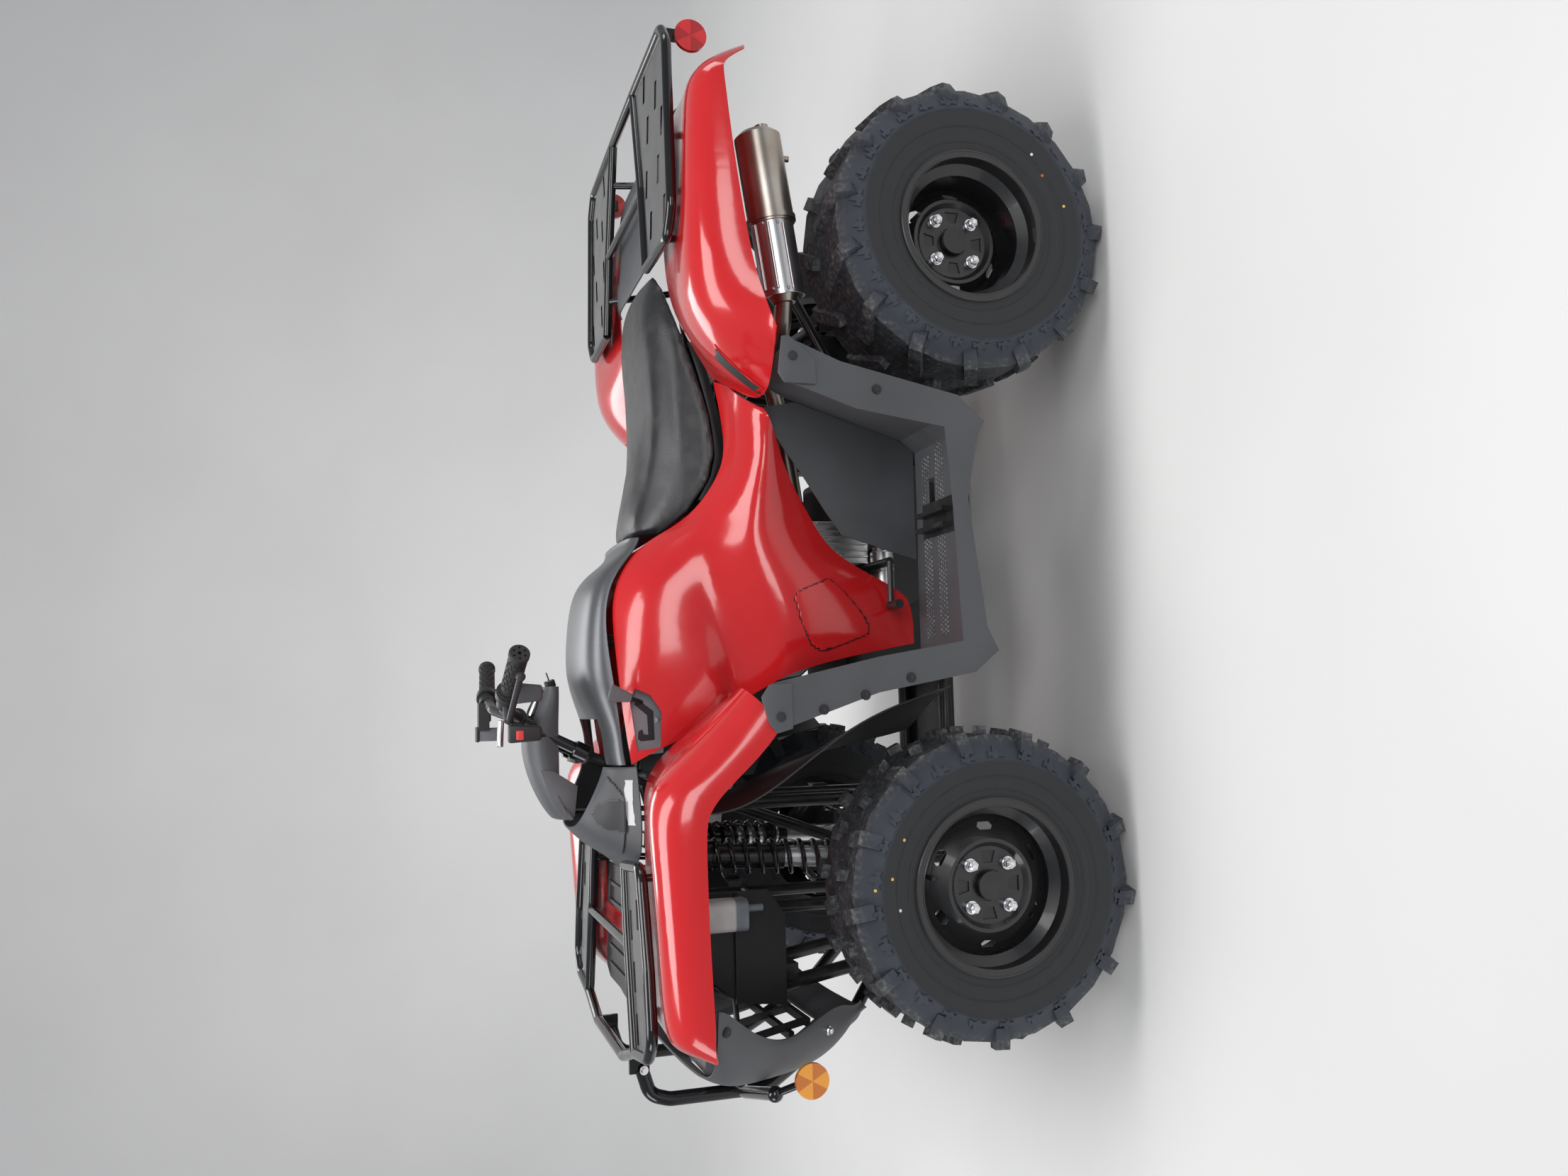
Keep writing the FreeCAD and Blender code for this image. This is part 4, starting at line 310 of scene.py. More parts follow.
def face_pick(piece, test):
    """Selects the faces that pass a test of their middle and normal, in edit mode after."""
    edit("FACE", "DESELECT")
    close()
    for face in piece.data.polygons:
        face.select = test(face.center, face.normal)
    bpy.ops.object.mode_set(mode="EDIT")


def cylinder(vertices, radius, low, high, x=0.0, y=0.0):
    leave_selection()
    bpy.ops.mesh.primitive_cylinder_add(vertices=vertices, radius=radius, depth=high - low,
                                        location=(x, y, (low + high) / 2.0))
    fixed()
    return bpy.context.object


def round_bar(radius, low, high, material, vertices=32, lip=0.0015):
    """A turned bar on +Z with both its edges broken."""
    bar = cylinder(vertices, radius, low, high)
    face_pick(bar, lambda middle, normal: abs(normal.z) > 0.9)
    bpy.ops.mesh.inset(thickness=lip)
    close()
    for vertex in bar.data.vertices:
        if math.hypot(vertex.co.x, vertex.co.y) < radius - lip * 0.5:
            vertex.co.z += lip if vertex.co.z > (low + high) / 2.0 else -lip
    bar.data.materials.append(material)
    return bar


def box_of(middle, size):
    leave_selection()
    bpy.ops.mesh.primitive_cube_add(size=1.0, location=middle)
    bpy.context.object.scale = size
    fixed()
    return bpy.context.object


def eased(offset, segments):
    """Breaks every edge of the active piece."""
    edit("FACE")
    bpy.ops.mesh.bevel(offset=offset, segments=segments, affect="EDGES")
    close()


def block(name, low, high, body, material, edge, taper=0.0):
    """A moulded box between two corners, with broken edges and a foot that may taper."""
    middle = [(a + b) / 2.0 for a, b in zip(low, high)]
    box = box_of(middle, [b - a for a, b in zip(low, high)])
    if taper:
        for vertex in box.data.vertices:
            if vertex.co.z < middle[2]:
                vertex.co.x += taper if vertex.co.x < middle[0] else -taper
    eased(edge, 3)
    return settle(box, name, body, material)


engine_black = surface("engine_black", (0.02, 0.02, 0.021), 0.5, metallic=0.3)
raised(engine_black, noise(engine_black, 500.0, 3.0), 0.0004, 0.5)
dress(["engine"], engine_black)
bare_alloy = surface("bare_alloy", (0.60, 0.60, 0.60), 0.34, metallic=1.0)
varied(bare_alloy, "Roughness", noise(bare_alloy, 35.0, 5.0), (0.3, 0.24), (0.75, 0.5))
raised(bare_alloy, noise(bare_alloy, 700.0, 2.0), 0.0003, 0.35)

barrel = [block("barrel_wall", (-0.112, 0.150, 0.392), (-0.018, 0.206, 0.520), "chassis",
                bare_alloy, 0.004)]
for k in range(rib_count):
    x = -0.108 + rib_pitch * k
    barrel.append(block("barrel_rib_%d" % k, (x, 0.200, 0.398), (x + 0.0045, 0.217, 0.514),
                        "chassis", bare_alloy, 0.0012))
gathered(barrel).name = "engine_barrel"
starter = gathered([round_bar(0.026, 0.0, 0.098, bare_alloy, 40, 0.003),
                    round_bar(0.0215, -0.010, 0.0, bare_alloy, 40, 0.002),
                    round_bar(0.0272, 0.034, 0.040, bare_alloy, 40, 0.001)])
settle(copied(starter, (-0.044, 0.214, 0.366), (1.0, 0.0, 0.0)), "starter_case", "chassis",
       bare_alloy)
put_away(starter)
screw = round_bar(0.0062, -0.0005, 0.0052, bare_alloy, 18, 0.0012)
screws = []
for k in range(screw_count):
    angle = 2.0 * math.pi * (k + 0.5) / screw_count
    start = Vector((-0.020 + screw_circle * math.cos(angle), 0.3,
                    0.330 + screw_circle * math.sin(angle)))
    hit, place, normal, face = nodes["engine"].ray_cast(start, Vector((0.0, -1.0, 0.0)))
    # The ones in front lie under the foot of the side cover.
    if hit and place.x < 0.05:
        screws.append(copied(screw, place, normal))
put_away(screw)
settle(gathered(screws), "cover_screws", "chassis", bare_alloy)

# Exhaust: a steel pipe and silencer, straw coloured from heat, and over the silencer a
# rolled shield of brushed steel, held by two rows of round-headed rivets.

muffler_from = Vector((-0.505, 0.430, 0.642))
muffler_to = Vector((-0.845, 0.430, 0.692))
rivet_rows = (0.018, 0.148)
rivet_angles = (4.0, 46.0)

muffler_steel = surface("muffler_steel", (0.42, 0.38, 0.33), 0.3, metallic=1.0)
varied(muffler_steel, "Base Color", noise(muffler_steel, 9.0, 6.0),
       (0.3, (0.30, 0.25, 0.20)), (0.7, (0.52, 0.49, 0.45)))
dress(["exhaust"], muffler_steel)
shield_steel = surface("shield_steel", (0.55, 0.55, 0.56), 0.28, metallic=1.0)
raised(shield_steel, noise(shield_steel, 300.0, 3.0, (0.05, 1.0, 1.0)), 0.0003, 0.35)
dress(["muffler_shield"], shield_steel)
along_pipe = (muffler_to - muffler_from).normalized()
rivet = round_bar(0.0036, 0.0, 0.0022, plated_steel, 16, 0.0012)
rivets = []
for reach in rivet_rows:
    for angle in rivet_angles:
        out = Vector((0.0, math.cos(math.radians(angle)), math.sin(math.radians(angle))))
        start = muffler_from + along_pipe * reach + out * 0.3
        hit, place, normal, face = nodes["muffler_shield"].ray_cast(start, -out)
        if hit:
            rivets.append(copied(rivet, place, normal))
put_away(rivet)
settle(gathered(rivets), "shield_rivets", "chassis", plated_steel)

# Coil-over dampers: a polished body below, a black tube above and a coil spring in black
# enamel between two perches, with a rubber eye at each end, bolted between frame and arm.

shock_top = Vector((0.575, 0.182, 0.800))
shock_foot = Vector((0.596, 0.292, 0.262))
coil_turns = 9.0


def spring(coil_radius, wire, low, high, turns, material):
    """A coil spring on +Z: a round section screwed up along its axis."""
    leave_selection()
    bpy.ops.mesh.primitive_circle_add(vertices=10, radius=wire, fill_type="NOTHING",
                                      location=(coil_radius, 0.0, low),
                                      rotation=(math.pi / 2.0, 0.0, 0.0))
    coil = bpy.context.object
    fixed()
    worked(coil, "SCREW", axis="Z", angle=2.0 * math.pi * turns, screw_offset=high - low,
           steps=int(28 * turns), render_steps=int(28 * turns), use_merge_vertices=False)
    edit("FACE")
    bpy.ops.mesh.fill_holes(sides=12)
    bpy.ops.mesh.select_all(action="SELECT")
    bpy.ops.mesh.normals_make_consistent(inside=False)
    close()
    coil.data.materials.append(material)
    return coil


spring_black = surface("spring_black", (0.01, 0.01, 0.011), 0.22, coat=0.4)
road_dust = noise(spring_black, 38.0, 6.0)
varied(spring_black, "Roughness", road_dust, (0.35, 0.18), (0.75, 0.45))
varied(spring_black, "Base Color", road_dust, (0.45, (0.009, 0.009, 0.010)),
       (0.85, (0.028, 0.027, 0.026)))
dress(["front_shocks", "rear_shock"], spring_black)
damper_silver = surface("damper_silver", (0.74, 0.74, 0.75), 0.26, metallic=0.7)
varied(damper_silver, "Roughness", noise(damper_silver, 60.0, 4.0, (1.0, 1.0, 0.1)),
       (0.3, 0.16), (0.8, 0.34))

long = (shock_foot - shock_top).length
damper = gathered([round_bar(0.021, long * 0.34, long - 0.022, damper_silver),
                   round_bar(0.0245, 0.020, long * 0.36, spring_black),
                   round_bar(0.036, 0.030, 0.037, spring_black),
                   round_bar(0.030, 0.037, 0.052, spring_black),
                   round_bar(0.036, 0.306, 0.313, spring_black),
                   round_bar(0.029, 0.294, 0.306, spring_black),
                   round_bar(0.0235, 0.330, 0.350, spring_black),
                   spring(0.0315, 0.0050, 0.042, 0.301, coil_turns, spring_black)])
eyes = []
for height in (0.0, long):
    eye = round_bar(0.014, -0.0135, 0.0135, spring_black, 28)
    eye.data.transform(Matrix.Translation((0.0, 0.0, height))
                       @ Matrix.Rotation(math.pi / 2.0, 4, "Y"))
    eyes.append(eye)
damper = gathered([damper] + eyes)
pair = []
for side in (1.0, -1.0):
    start = Vector((shock_top.x, side * shock_top.y, shock_top.z))
    end = Vector((shock_foot.x, side * shock_foot.y, shock_foot.z))
    axis = (end - start).normalized()
    level = (Vector((1.0, 0.0, 0.0)) - axis * axis.x).normalized()
    turn = Matrix((level, axis.cross(level), axis)).transposed().to_4x4()
    pair.append(placed(damper, Matrix.Translation(start) @ turn))
put_away(damper)
dampers = settle(gathered(pair), "coil_over_dampers", "chassis")
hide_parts("front_shocks")

# Wheels: pressed steel rims in satin black, four plated nuts on conical seats between the
# vents of each, and the rubber valve that stands out of the barrel.

sides = (("left", 1.0), ("right", -1.0))
axles = {"front": (0.6225, 0.298, 0.473), "rear": (-0.6445, 0.296, 0.455)}
nut_circle = 0.055
nut_count = 4
disc_face = {"front": 0.052, "rear": 0.016}
valve_circle = {"front": 0.1235, "rear": 0.108}
valve_face = {"front": 0.036, "rear": 0.058}
valve_angle = {"left": 100.0, "right": 80.0}


def wheel_body(end, side_name):
    return "front_wheel_" + side_name if end == "front" else "rear_axle_body"


def topped(piece, steps):
    """Insets the top face and draws it up, step by step."""
    face_pick(piece, lambda middle, normal: normal.z > 0.9)
    for rim, rise in steps:
        if rim:
            bpy.ops.mesh.inset(thickness=rim)
        extrude((0.0, 0.0, rise))
    close()


def stepped(vertices, radius, low, high, *steps):
    """A round or six-sided piece on +Z with a stepped top."""
    piece = cylinder(vertices, radius, low, high)
    topped(piece, steps)
    return piece


rim_black = surface("rim_black", (0.014, 0.014, 0.015), 0.3, coat=0.35)
varied(rim_black, "Roughness", noise(rim_black, 30.0, 5.0), (0.35, 0.27), (0.75, 0.45))
dress(["front_rim_left", "front_rim_right", "rear_rim_left", "rear_rim_right"], rim_black)
nut_chrome = surface("nut_chrome", (0.78, 0.78, 0.80), 0.16, metallic=1.0)
varied(nut_chrome, "Roughness", noise(nut_chrome, 260.0, 3.0), (0.4, 0.12), (0.7, 0.28))
grip_rubber = surface("grip_rubber", (0.02, 0.02, 0.021), 0.62)
raised(grip_rubber, noise(grip_rubber, 700.0, 2.0), 0.0005, 0.6)

nut_seat = stepped(24, 0.0125, 0.0, 0.005, (0.0022, 0.0015))
nut = stepped(6, 0.0105, 0.006, 0.020, (0.0018, 0.0025), (0.0024, 0.0012))
eased(0.0005, 1)
nut = gathered([nut, nut_seat])
valve = stepped(14, 0.0042, 0.0, 0.026, (0.0, 0.001), (-0.0012, 0.009), (0.0012, 0.0012))
for end, (axle_x, axle_z, centre) in axles.items():
    for side_name, side in sides:
        nuts = []
        for k in range(nut_count):
            angle = 2.0 * math.pi * (k + 0.5) / nut_count
            place = (axle_x + nut_circle * math.cos(angle), side * (centre + disc_face[end]),
                     axle_z + nut_circle * math.sin(angle))
            nuts.append(copied(nut, place, (0.0, side, 0.0), 0.3 * k))
        body = wheel_body(end, side_name)
        settle(gathered(nuts), end + "_nuts_" + side_name, body, nut_chrome)
        angle = math.radians(valve_angle[side_name])
        root = (axle_x + valve_circle[end] * math.cos(angle), side * (centre + valve_face[end]),
                axle_z + valve_circle[end] * math.sin(angle))
        settle(copied(valve, root, (0.0, side, 0.0)), end + "_valve_" + side_name, body,
               grip_rubber)
put_away(nut)
put_away(valve)

# Tyres: black rubber, bluish grey and paler on the outer wall than on the inner, and lugs
# whose tops are scuffed grey from rolling about on bare concrete.

outer_tone_ring = {"front": 0.234, "rear": 0.229}


def spread_out(material, value, low, high):
    """A value's share of the way from low to high."""
    tree = material.node_tree
    node = tree.nodes.new("ShaderNodeMapRange")
    node.inputs["From Min"].default_value = low
    node.inputs["From Max"].default_value = high
    tree.links.new(value, node.inputs["Value"])
    return node.outputs["Result"]


def blended(material, share, first, second):
    """Mixes two colour outputs by a share from 0 to 1."""
    tree = material.node_tree
    mix = tree.nodes.new("ShaderNodeMix")
    mix.data_type = "RGBA"
    tree.links.new(share, mix.inputs["Factor"])
    for socket, given in (("A", first), ("B", second)):
        port = [port for port in mix.inputs if port.name == socket and port.type == "RGBA"][0]
        tree.links.new(given, port)
    return [port for port in mix.outputs if port.type == "RGBA"][0]


def from_axle(material, x, z):
    """The distance of a point from an axle line that runs along Y."""
    tree = material.node_tree
    far = tree.nodes.new("ShaderNodeVectorMath")
    far.operation = "LENGTH"
    flat = own_place(material, Location=(-x, 0.0, -z), Scale=(1.0, 0.0, 1.0))
    tree.links.new(flat, far.inputs[0])
    return far.outputs["Value"]


def rubber(end):
    """Tyre rubber for one axle, with rings round it and scuffed lug tops."""
    axle_x, radius = axles[end][:2]
    ring = outer_tone_ring[end]
    material = surface(end + "_rubber", (0.03, 0.032, 0.036), 0.7)
    far = from_axle(material, axle_x, radius)
    cloudy = noise(material, 14.0, 6.0)
    inner = ramp(material, cloudy, (0.3, (0.017, 0.018, 0.020)), (0.7, (0.027, 0.028, 0.031)))
    outer = ramp(material, cloudy, (0.3, (0.028, 0.033, 0.044)), (0.62, (0.042, 0.049, 0.064)),
                 (0.85, (0.070, 0.077, 0.092)))
    wall = blended(material, spread_out(material, far, ring - 0.003, ring + 0.003), inner,
                   outer)
    scratch = noise(material, 110.0, 9.0)
    worn = ramp(material, scratch, (0.34, (0.034, 0.036, 0.041)), (0.50, (0.060, 0.063, 0.069)),
                (0.62, (0.12, 0.12, 0.12)), (0.76, (0.25, 0.25, 0.24)))
    height = spread_out(material, far, radius - 0.034, radius - 0.010)
    feed(material, "Base Color", blended(material, height, wall, worn))
    varied(material, "Roughness", cloudy, (0.3, 0.55), (0.8, 0.82))
    rings = spread_out(material, far, ring - 0.060, ring + 0.040)
    steps = ramp(material, rings, (0.0, 0.2), (0.13, 0.2), (0.15, 0.7), (0.19, 0.7),
                 (0.21, 0.25), (0.56, 0.3), (0.59, 0.9), (0.62, 0.9), (0.64, 0.4), (1.0, 0.4))
    raised(material, scratch, 0.0007, 0.35, raised(material, steps, 0.0012, 0.8))
    return material


rubbers = {end: rubber(end) for end in axles}
for end, material in rubbers.items():
    dress([end + "_tyre_left", end + "_tyre_right"], material)

# Low ridges on the tyres' shoulders, between the lugs and the upper ring: zig-zag outlines
# in two sizes round both walls of each tyre, moulded with the rubber.

zig_zag = ((-0.024, 0.000), (-0.019, 0.016), (-0.010, 0.010), (-0.006, 0.025), (0.004, 0.029),
           (0.008, 0.012), (0.018, 0.018), (0.022, 0.001), (0.013, 0.005), (0.002, -0.004),
           (-0.009, 0.004))
pitch_count = {"front": 13, "rear": 15}
ridge_foot = {"front": 0.238, "rear": 0.236}
ridge_sizes = (0.62, 0.76)
ridge_wall = 0.0060


def drawn(points):
    """A flat face drawn corner by corner, left in edit mode and selected."""
    leave_selection()
    bpy.ops.mesh.primitive_plane_add(size=0.01, location=points[0])
    piece = bpy.context.object
    fixed()
    edit("VERT")
    bpy.ops.mesh.merge(type="CENTER")
    for before, after in zip(points, points[1:]):
        extrude(Vector(after) - Vector(before))
    bpy.ops.mesh.select_all(action="SELECT")
    bpy.ops.mesh.edge_face_add()
    return piece


def laid(sheet, node, side, lift):
    """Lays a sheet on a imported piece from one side, or from above where side is 0.0."""
    worked(sheet, "SHRINKWRAP", wrap_method="PROJECT", target=nodes[node], offset=lift,
           use_project_z=side == 0.0, use_project_y=side != 0.0,
           use_negative_direction=side >= 0.0, use_positive_direction=side < 0.0)


ridge = drawn([(along, 0.0, lift) for along, lift in zig_zag])
close()
for end, (axle_x, axle_z, centre) in axles.items():
    for side_name, side in sides:
        walls = []
        for way in (1.0, -1.0):
            hub = Matrix.Translation((axle_x, centre * side + way * 0.3, axle_z))
            ridges = []
            for k in range(pitch_count[end] * 2):
                angle = math.pi * (k + 0.5) / pitch_count[end]
                ridges.append(placed(ridge, hub @ Matrix.Rotation(angle, 4, "Y")
                                     @ Matrix.Translation((0.0, 0.0, ridge_foot[end]))
                                     @ Matrix.Scale(ridge_sizes[k % 2], 4)))
            wall = gathered(ridges)
            laid(wall, "%s_tyre_%s" % (end, side_name), way, 0.0)
            for k in [face.index for face in wall.data.polygons if face.normal.y * way < 0.0]:
                wall.data.polygons[k].flip()
            worked(wall, "SOLIDIFY", thickness=ridge_wall, offset=0.1)
            walls.append(wall)
        settle(gathered(walls), end + "_shoulder_ridges_" + side_name,
               wheel_body(end, side_name), rubbers[end])
put_away(ridge)

# Thin moulded rings round each tyre wall, and the rolled beads of each rim's flange.

wall_rings = {"front": (0.2345, 0.2050, 0.1800), "rear": (0.2300, 0.1980, 0.1690)}
rim_rings = {"front": (0.1500, 0.1625), "rear": (0.1383, 0.1500)}
ring_thin, ring_sunk = 0.0016, 0.0004
bead_thin, bead_sunk = 0.0017, 0.0006


def seat_on(node, start, direction):
    """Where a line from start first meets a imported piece, and that piece's outward normal."""
    hit, place, normal, face = nodes[node].ray_cast(Vector(start), Vector(direction).normalized())
    if not hit:
        raise RuntimeError("nothing to seat on: " + node)
    return place, normal


def rings_on(node, end, side, radii, thin, sink):
    """Round beads let into one face of a wheel piece, at the given radii."""
    axle_x, axle_z = axles[end][:2]
    beads = []
    for reach in radii:
        heights = []
        for k in range(7):
            angle = 0.31 + 2.0 * math.pi * k / 7.0
            start = (axle_x + reach * math.cos(angle), side * 0.9,
                     axle_z + reach * math.sin(angle))
            heights.append(abs(seat_on(node, start, (0.0, -side, 0.0))[0].y))
        middle = sorted(heights)[3]
        leave_selection()
        bpy.ops.mesh.primitive_torus_add(major_segments=96, minor_segments=8,
                                         major_radius=reach, minor_radius=thin,
                                         location=(axle_x, side * (middle - sink), axle_z),
                                         rotation=(math.pi / 2.0, 0.0, 0.0))
        beads.append(bpy.context.object)
    return gathered(beads)


for end in axles:
    for side_name, side in sides:
        body = wheel_body(end, side_name)
        settle(rings_on("%s_tyre_%s" % (end, side_name), end, side, wall_rings[end], ring_thin,
                        ring_sunk), end + "_wall_rings_" + side_name, body, rubbers[end])
        settle(rings_on("%s_rim_%s" % (end, side_name), end, side, rim_rings[end], bead_thin,
                        bead_sunk), end + "_rim_beads_" + side_name, body, rim_black)

# Dabs of paint that the tyre fitter leaves on the side walls at the light and heavy spots.

dabs = (("front", "yellow", 0.611, 0.545), ("front", "yellow", 0.593, 0.512),
        ("front", "white", 0.650, 0.497), ("front", "yellow", 0.525, 0.486),
        ("rear", "red", -0.760, 0.142), ("rear", "yellow", -0.700, 0.098),
        ("rear", "white", -0.800, 0.165))

dab_paint = {"yellow": surface("dab_yellow", (0.85, 0.55, 0.12), 0.6),
             "white": surface("dab_white", (0.75, 0.82, 0.85), 0.6),
             "red": surface("dab_red", (0.75, 0.1, 0.06), 0.6)}
for paint in dab_paint.values():
    raised(paint, noise(paint, 900.0, 2.0), 0.0003, 0.4)
dab = stepped(10, 0.003, -0.0004, 0.0004, (0.0008, 0.0004))
for k, (end, tone, x, z) in enumerate(dabs):
    place, normal = seat_on(end + "_tyre_left", (x, 0.75, z), (0.0, -1.0, 0.0))
    settle(copied(dab, place, normal), "paint_dab_%d" % k, wheel_body(end, "left"),
           dab_paint[tone])
put_away(dab)

# Coolant bottle: blown in milky plastic, through which the fluid's level shows as a darker
# lower part.

fluid_level = 0.726

bottle_white = surface("bottle_white", (0.72, 0.73, 0.71), 0.4)
apart = bottle_white.node_tree.nodes.new("ShaderNodeSeparateXYZ")
bottle_white.node_tree.links.new(own_place(bottle_white), apart.inputs["Vector"])
level = spread_out(bottle_white, apart.outputs["Z"], fluid_level - 0.002, fluid_level + 0.002)
milk = noise(bottle_white, 30.0, 3.0)
clear = ramp(bottle_white, milk, (0.3, (0.56, 0.57, 0.55)), (0.7, (0.68, 0.69, 0.67)))
fluid = ramp(bottle_white, milk, (0.3, (0.16, 0.19, 0.22)), (0.7, (0.22, 0.25, 0.28)))
feed(bottle_white, "Base Color", blended(bottle_white, level, fluid, clear))
dress(["coolant_bottle"], bottle_white)

# Body panels: fenders, side covers and the inserts of the front deck, injection moulded in
# a red plastic that is glossy all through, clipped and bolted to the frame. Handling leaves
# faint haze on them.

panel_red = surface("panel_red", (0.56, 0.012, 0.014), 0.16, coat=0.55)
haze = noise(panel_red, 5.0, 5.0)
varied(panel_red, "Roughness", haze, (0.35, 0.13), (0.75, 0.24))
varied(panel_red, "Base Color", haze, (0.3, (0.56, 0.011, 0.014)), (0.8, (0.62, 0.018, 0.02)))
raised(panel_red, noise(panel_red, 60.0, 2.0), 0.0004, 0.12)
dress(["front_fenders", "rear_fenders", "side_covers", "deck_inserts"], panel_red)

# Moulded parts in grained grey plastic: cowl, nose, footwells with their flaps, rear deck
# and the cover on the handlebar; liners, grille and front deck in black. The tank cover has
# a finer, metallic grey.

grain_depth = 0.00025


def moulded(name, colour, roughness):
    """Plastic with the fine leather grain that a tool's etched face leaves."""
    material = surface(name, colour, roughness)
    shade = noise(material, 7.0, 4.0)
    varied(material, "Base Color", shade, (0.3, tuple(part * 0.86 for part in colour)),
           (0.75, tuple(part * 1.16 for part in colour)))
    varied(material, "Roughness", shade, (0.3, roughness - 0.06), (0.75, roughness + 0.07))
    raised(material, noise(material, 950.0, 3.0), grain_depth, 0.55)
    return material


moulded_grey = moulded("moulded_grey", (0.072, 0.074, 0.08), 0.52)
dress(["cowl", "front_fascia", "footwells", "rear_deck", "handlebar_pod"], moulded_grey)
moulded_black = moulded("moulded_black", (0.018, 0.018, 0.02), 0.48)
dress(["inner_panels", "skid_plate", "bar_controls", "front_deck", "grille"], moulded_black)
spine_grey = surface("spine_grey", (0.11, 0.113, 0.12), 0.36, metallic=0.55)
flakes = noise(spine_grey, 2200.0, 2.0)
varied(spine_grey, "Base Color", flakes, (0.35, (0.085, 0.088, 0.094)),
       (0.68, (0.17, 0.175, 0.185)))
raised(spine_grey, flakes, 0.0001, 0.3)
dress(["tank_cover"], spine_grey)

# Sheets laid against the body: the oil check lid in the left side cover, the framed blank
# on each rear fender, and on the cowl the raised facet with its arch and a blank strip.

lid_line = [(0.166, 0.554), (0.157, 0.574), (0.113, 0.594), (0.073, 0.606), (0.056, 0.601),
            (0.045, 0.582), (0.027, 0.536), (0.040, 0.515), (0.068, 0.490), (0.097, 0.467),
            (0.119, 0.456), (0.136, 0.459), (0.146, 0.478), (0.164, 0.529)]
fender_label = [(-0.326, 0.421), (-0.332, 0.444), (-0.395, 0.456), (-0.391, 0.425)]
facet = [(0.565, 0.926), (0.504, 1.004), (0.412, 0.954), (0.452, 0.926)]
arch = [(0.517, 0.930), (0.513, 0.956), (0.502, 0.975), (0.486, 0.982), (0.470, 0.975),
        (0.461, 0.955), (0.462, 0.930)]
cowl_label = [(0.504, 0.205), (0.504, 0.219), (0.420, 0.204), (0.420, 0.190)]


def laid_patch(outline, node, side, lift, wall, material, pitch=0.008, edge=0.0004):
    """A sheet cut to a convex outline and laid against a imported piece.

    side is 1.0 for the left, -1.0 for the right, and 0.0 for one laid from above; the
    outline is then (x, y) in place of (x, z)."""
    low = [min(point[k] for point in outline) for k in (0, 1)]
    high = [max(point[k] for point in outline) for k in (0, 1)]
    middle = [(low[k] + high[k]) / 2.0 for k in (0, 1)]
    span = max(high[0] - low[0], high[1] - low[1]) + 0.004
    count = int(span / pitch) + 3
    above = side == 0.0
    leave_selection()
    bpy.ops.mesh.primitive_grid_add(
        x_subdivisions=count, y_subdivisions=count, size=span,
        location=(middle[0], middle[1], 1.4) if above else (middle[0], 0.9 * side, middle[1]),
        rotation=(0.0 if above else math.pi / 2.0, 0.0, 0.0))
    sheet = bpy.context.object
    fixed()
    area = sum(a[0] * b[1] - b[0] * a[1] for a, b in zip(outline, outline[1:] + outline[:1]))
    ring = outline if area > 0 else outline[::-1]
    bpy.ops.object.mode_set(mode="EDIT")
    for first, second in zip(ring, ring[1:] + ring[:1]):
        out = (second[1] - first[1], first[0] - second[0])
        bpy.ops.mesh.select_all(action="SELECT")
        bpy.ops.mesh.bisect(
            plane_co=(first[0], first[1], 0.0) if above else (first[0], 0.0, first[1]),
            plane_no=(out[0], out[1], 0.0) if above else (out[0], 0.0, out[1]),
            clear_outer=True)
    close()
    laid(sheet, node, side, lift)
    # What found nothing to lie on is still at its start, and goes.
    edit("VERT", "DESELECT")
    close()
    for vertex in sheet.data.vertices:
        vertex.select = vertex.co.z > 1.35 if above else not 0.0 < vertex.co.y * side < 0.85
    bpy.ops.object.mode_set(mode="EDIT")
    bpy.ops.mesh.delete(type="VERT")
    close()
    outward = sum((face.normal.z if above else face.normal.y * side) * face.area
                  for face in sheet.data.polygons)
    if outward < 0.0:
        sheet.data.flip_normals()
    worked(sheet, "SOLIDIFY", thickness=wall, offset=1.0)
    if edge > 0.0:
        worked(sheet, "BEVEL", width=edge, segments=2, limit_method="ANGLE",
               angle_limit=math.radians(50.0))
    sheet.data.materials.clear()
    sheet.data.materials.append(material)
    return sheet


def grown(outline, amount):
    """The outline set out from its middle by an amount."""
    middle = [sum(point[k] for point in outline) / len(outline) for k in (0, 1)]
    wide = []
    for point in outline:
        away = Vector((point[0] - middle[0], point[1] - middle[1]))
        away = away * (1.0 + amount / away.length)
        wide.append((middle[0] + away.x, middle[1] + away.y))
    return wide


painted_groove_shade = surface("painted_groove_shade", (0.07, 0.003, 0.004), 0.4)
varied(painted_groove_shade, "Roughness", noise(painted_groove_shade, 40.0, 2.0), (0.3, 0.3), (0.7, 0.5))
label_blank = surface("label_blank", (0.035, 0.037, 0.04), 0.3)
varied(label_blank, "Roughness", noise(label_blank, 700.0, 2.0), (0.3, 0.26), (0.7, 0.4))
label_pale = surface("label_pale", (0.55, 0.56, 0.57), 0.35)
varied(label_pale, "Roughness", noise(label_pale, 700.0, 2.0), (0.3, 0.3), (0.7, 0.45))
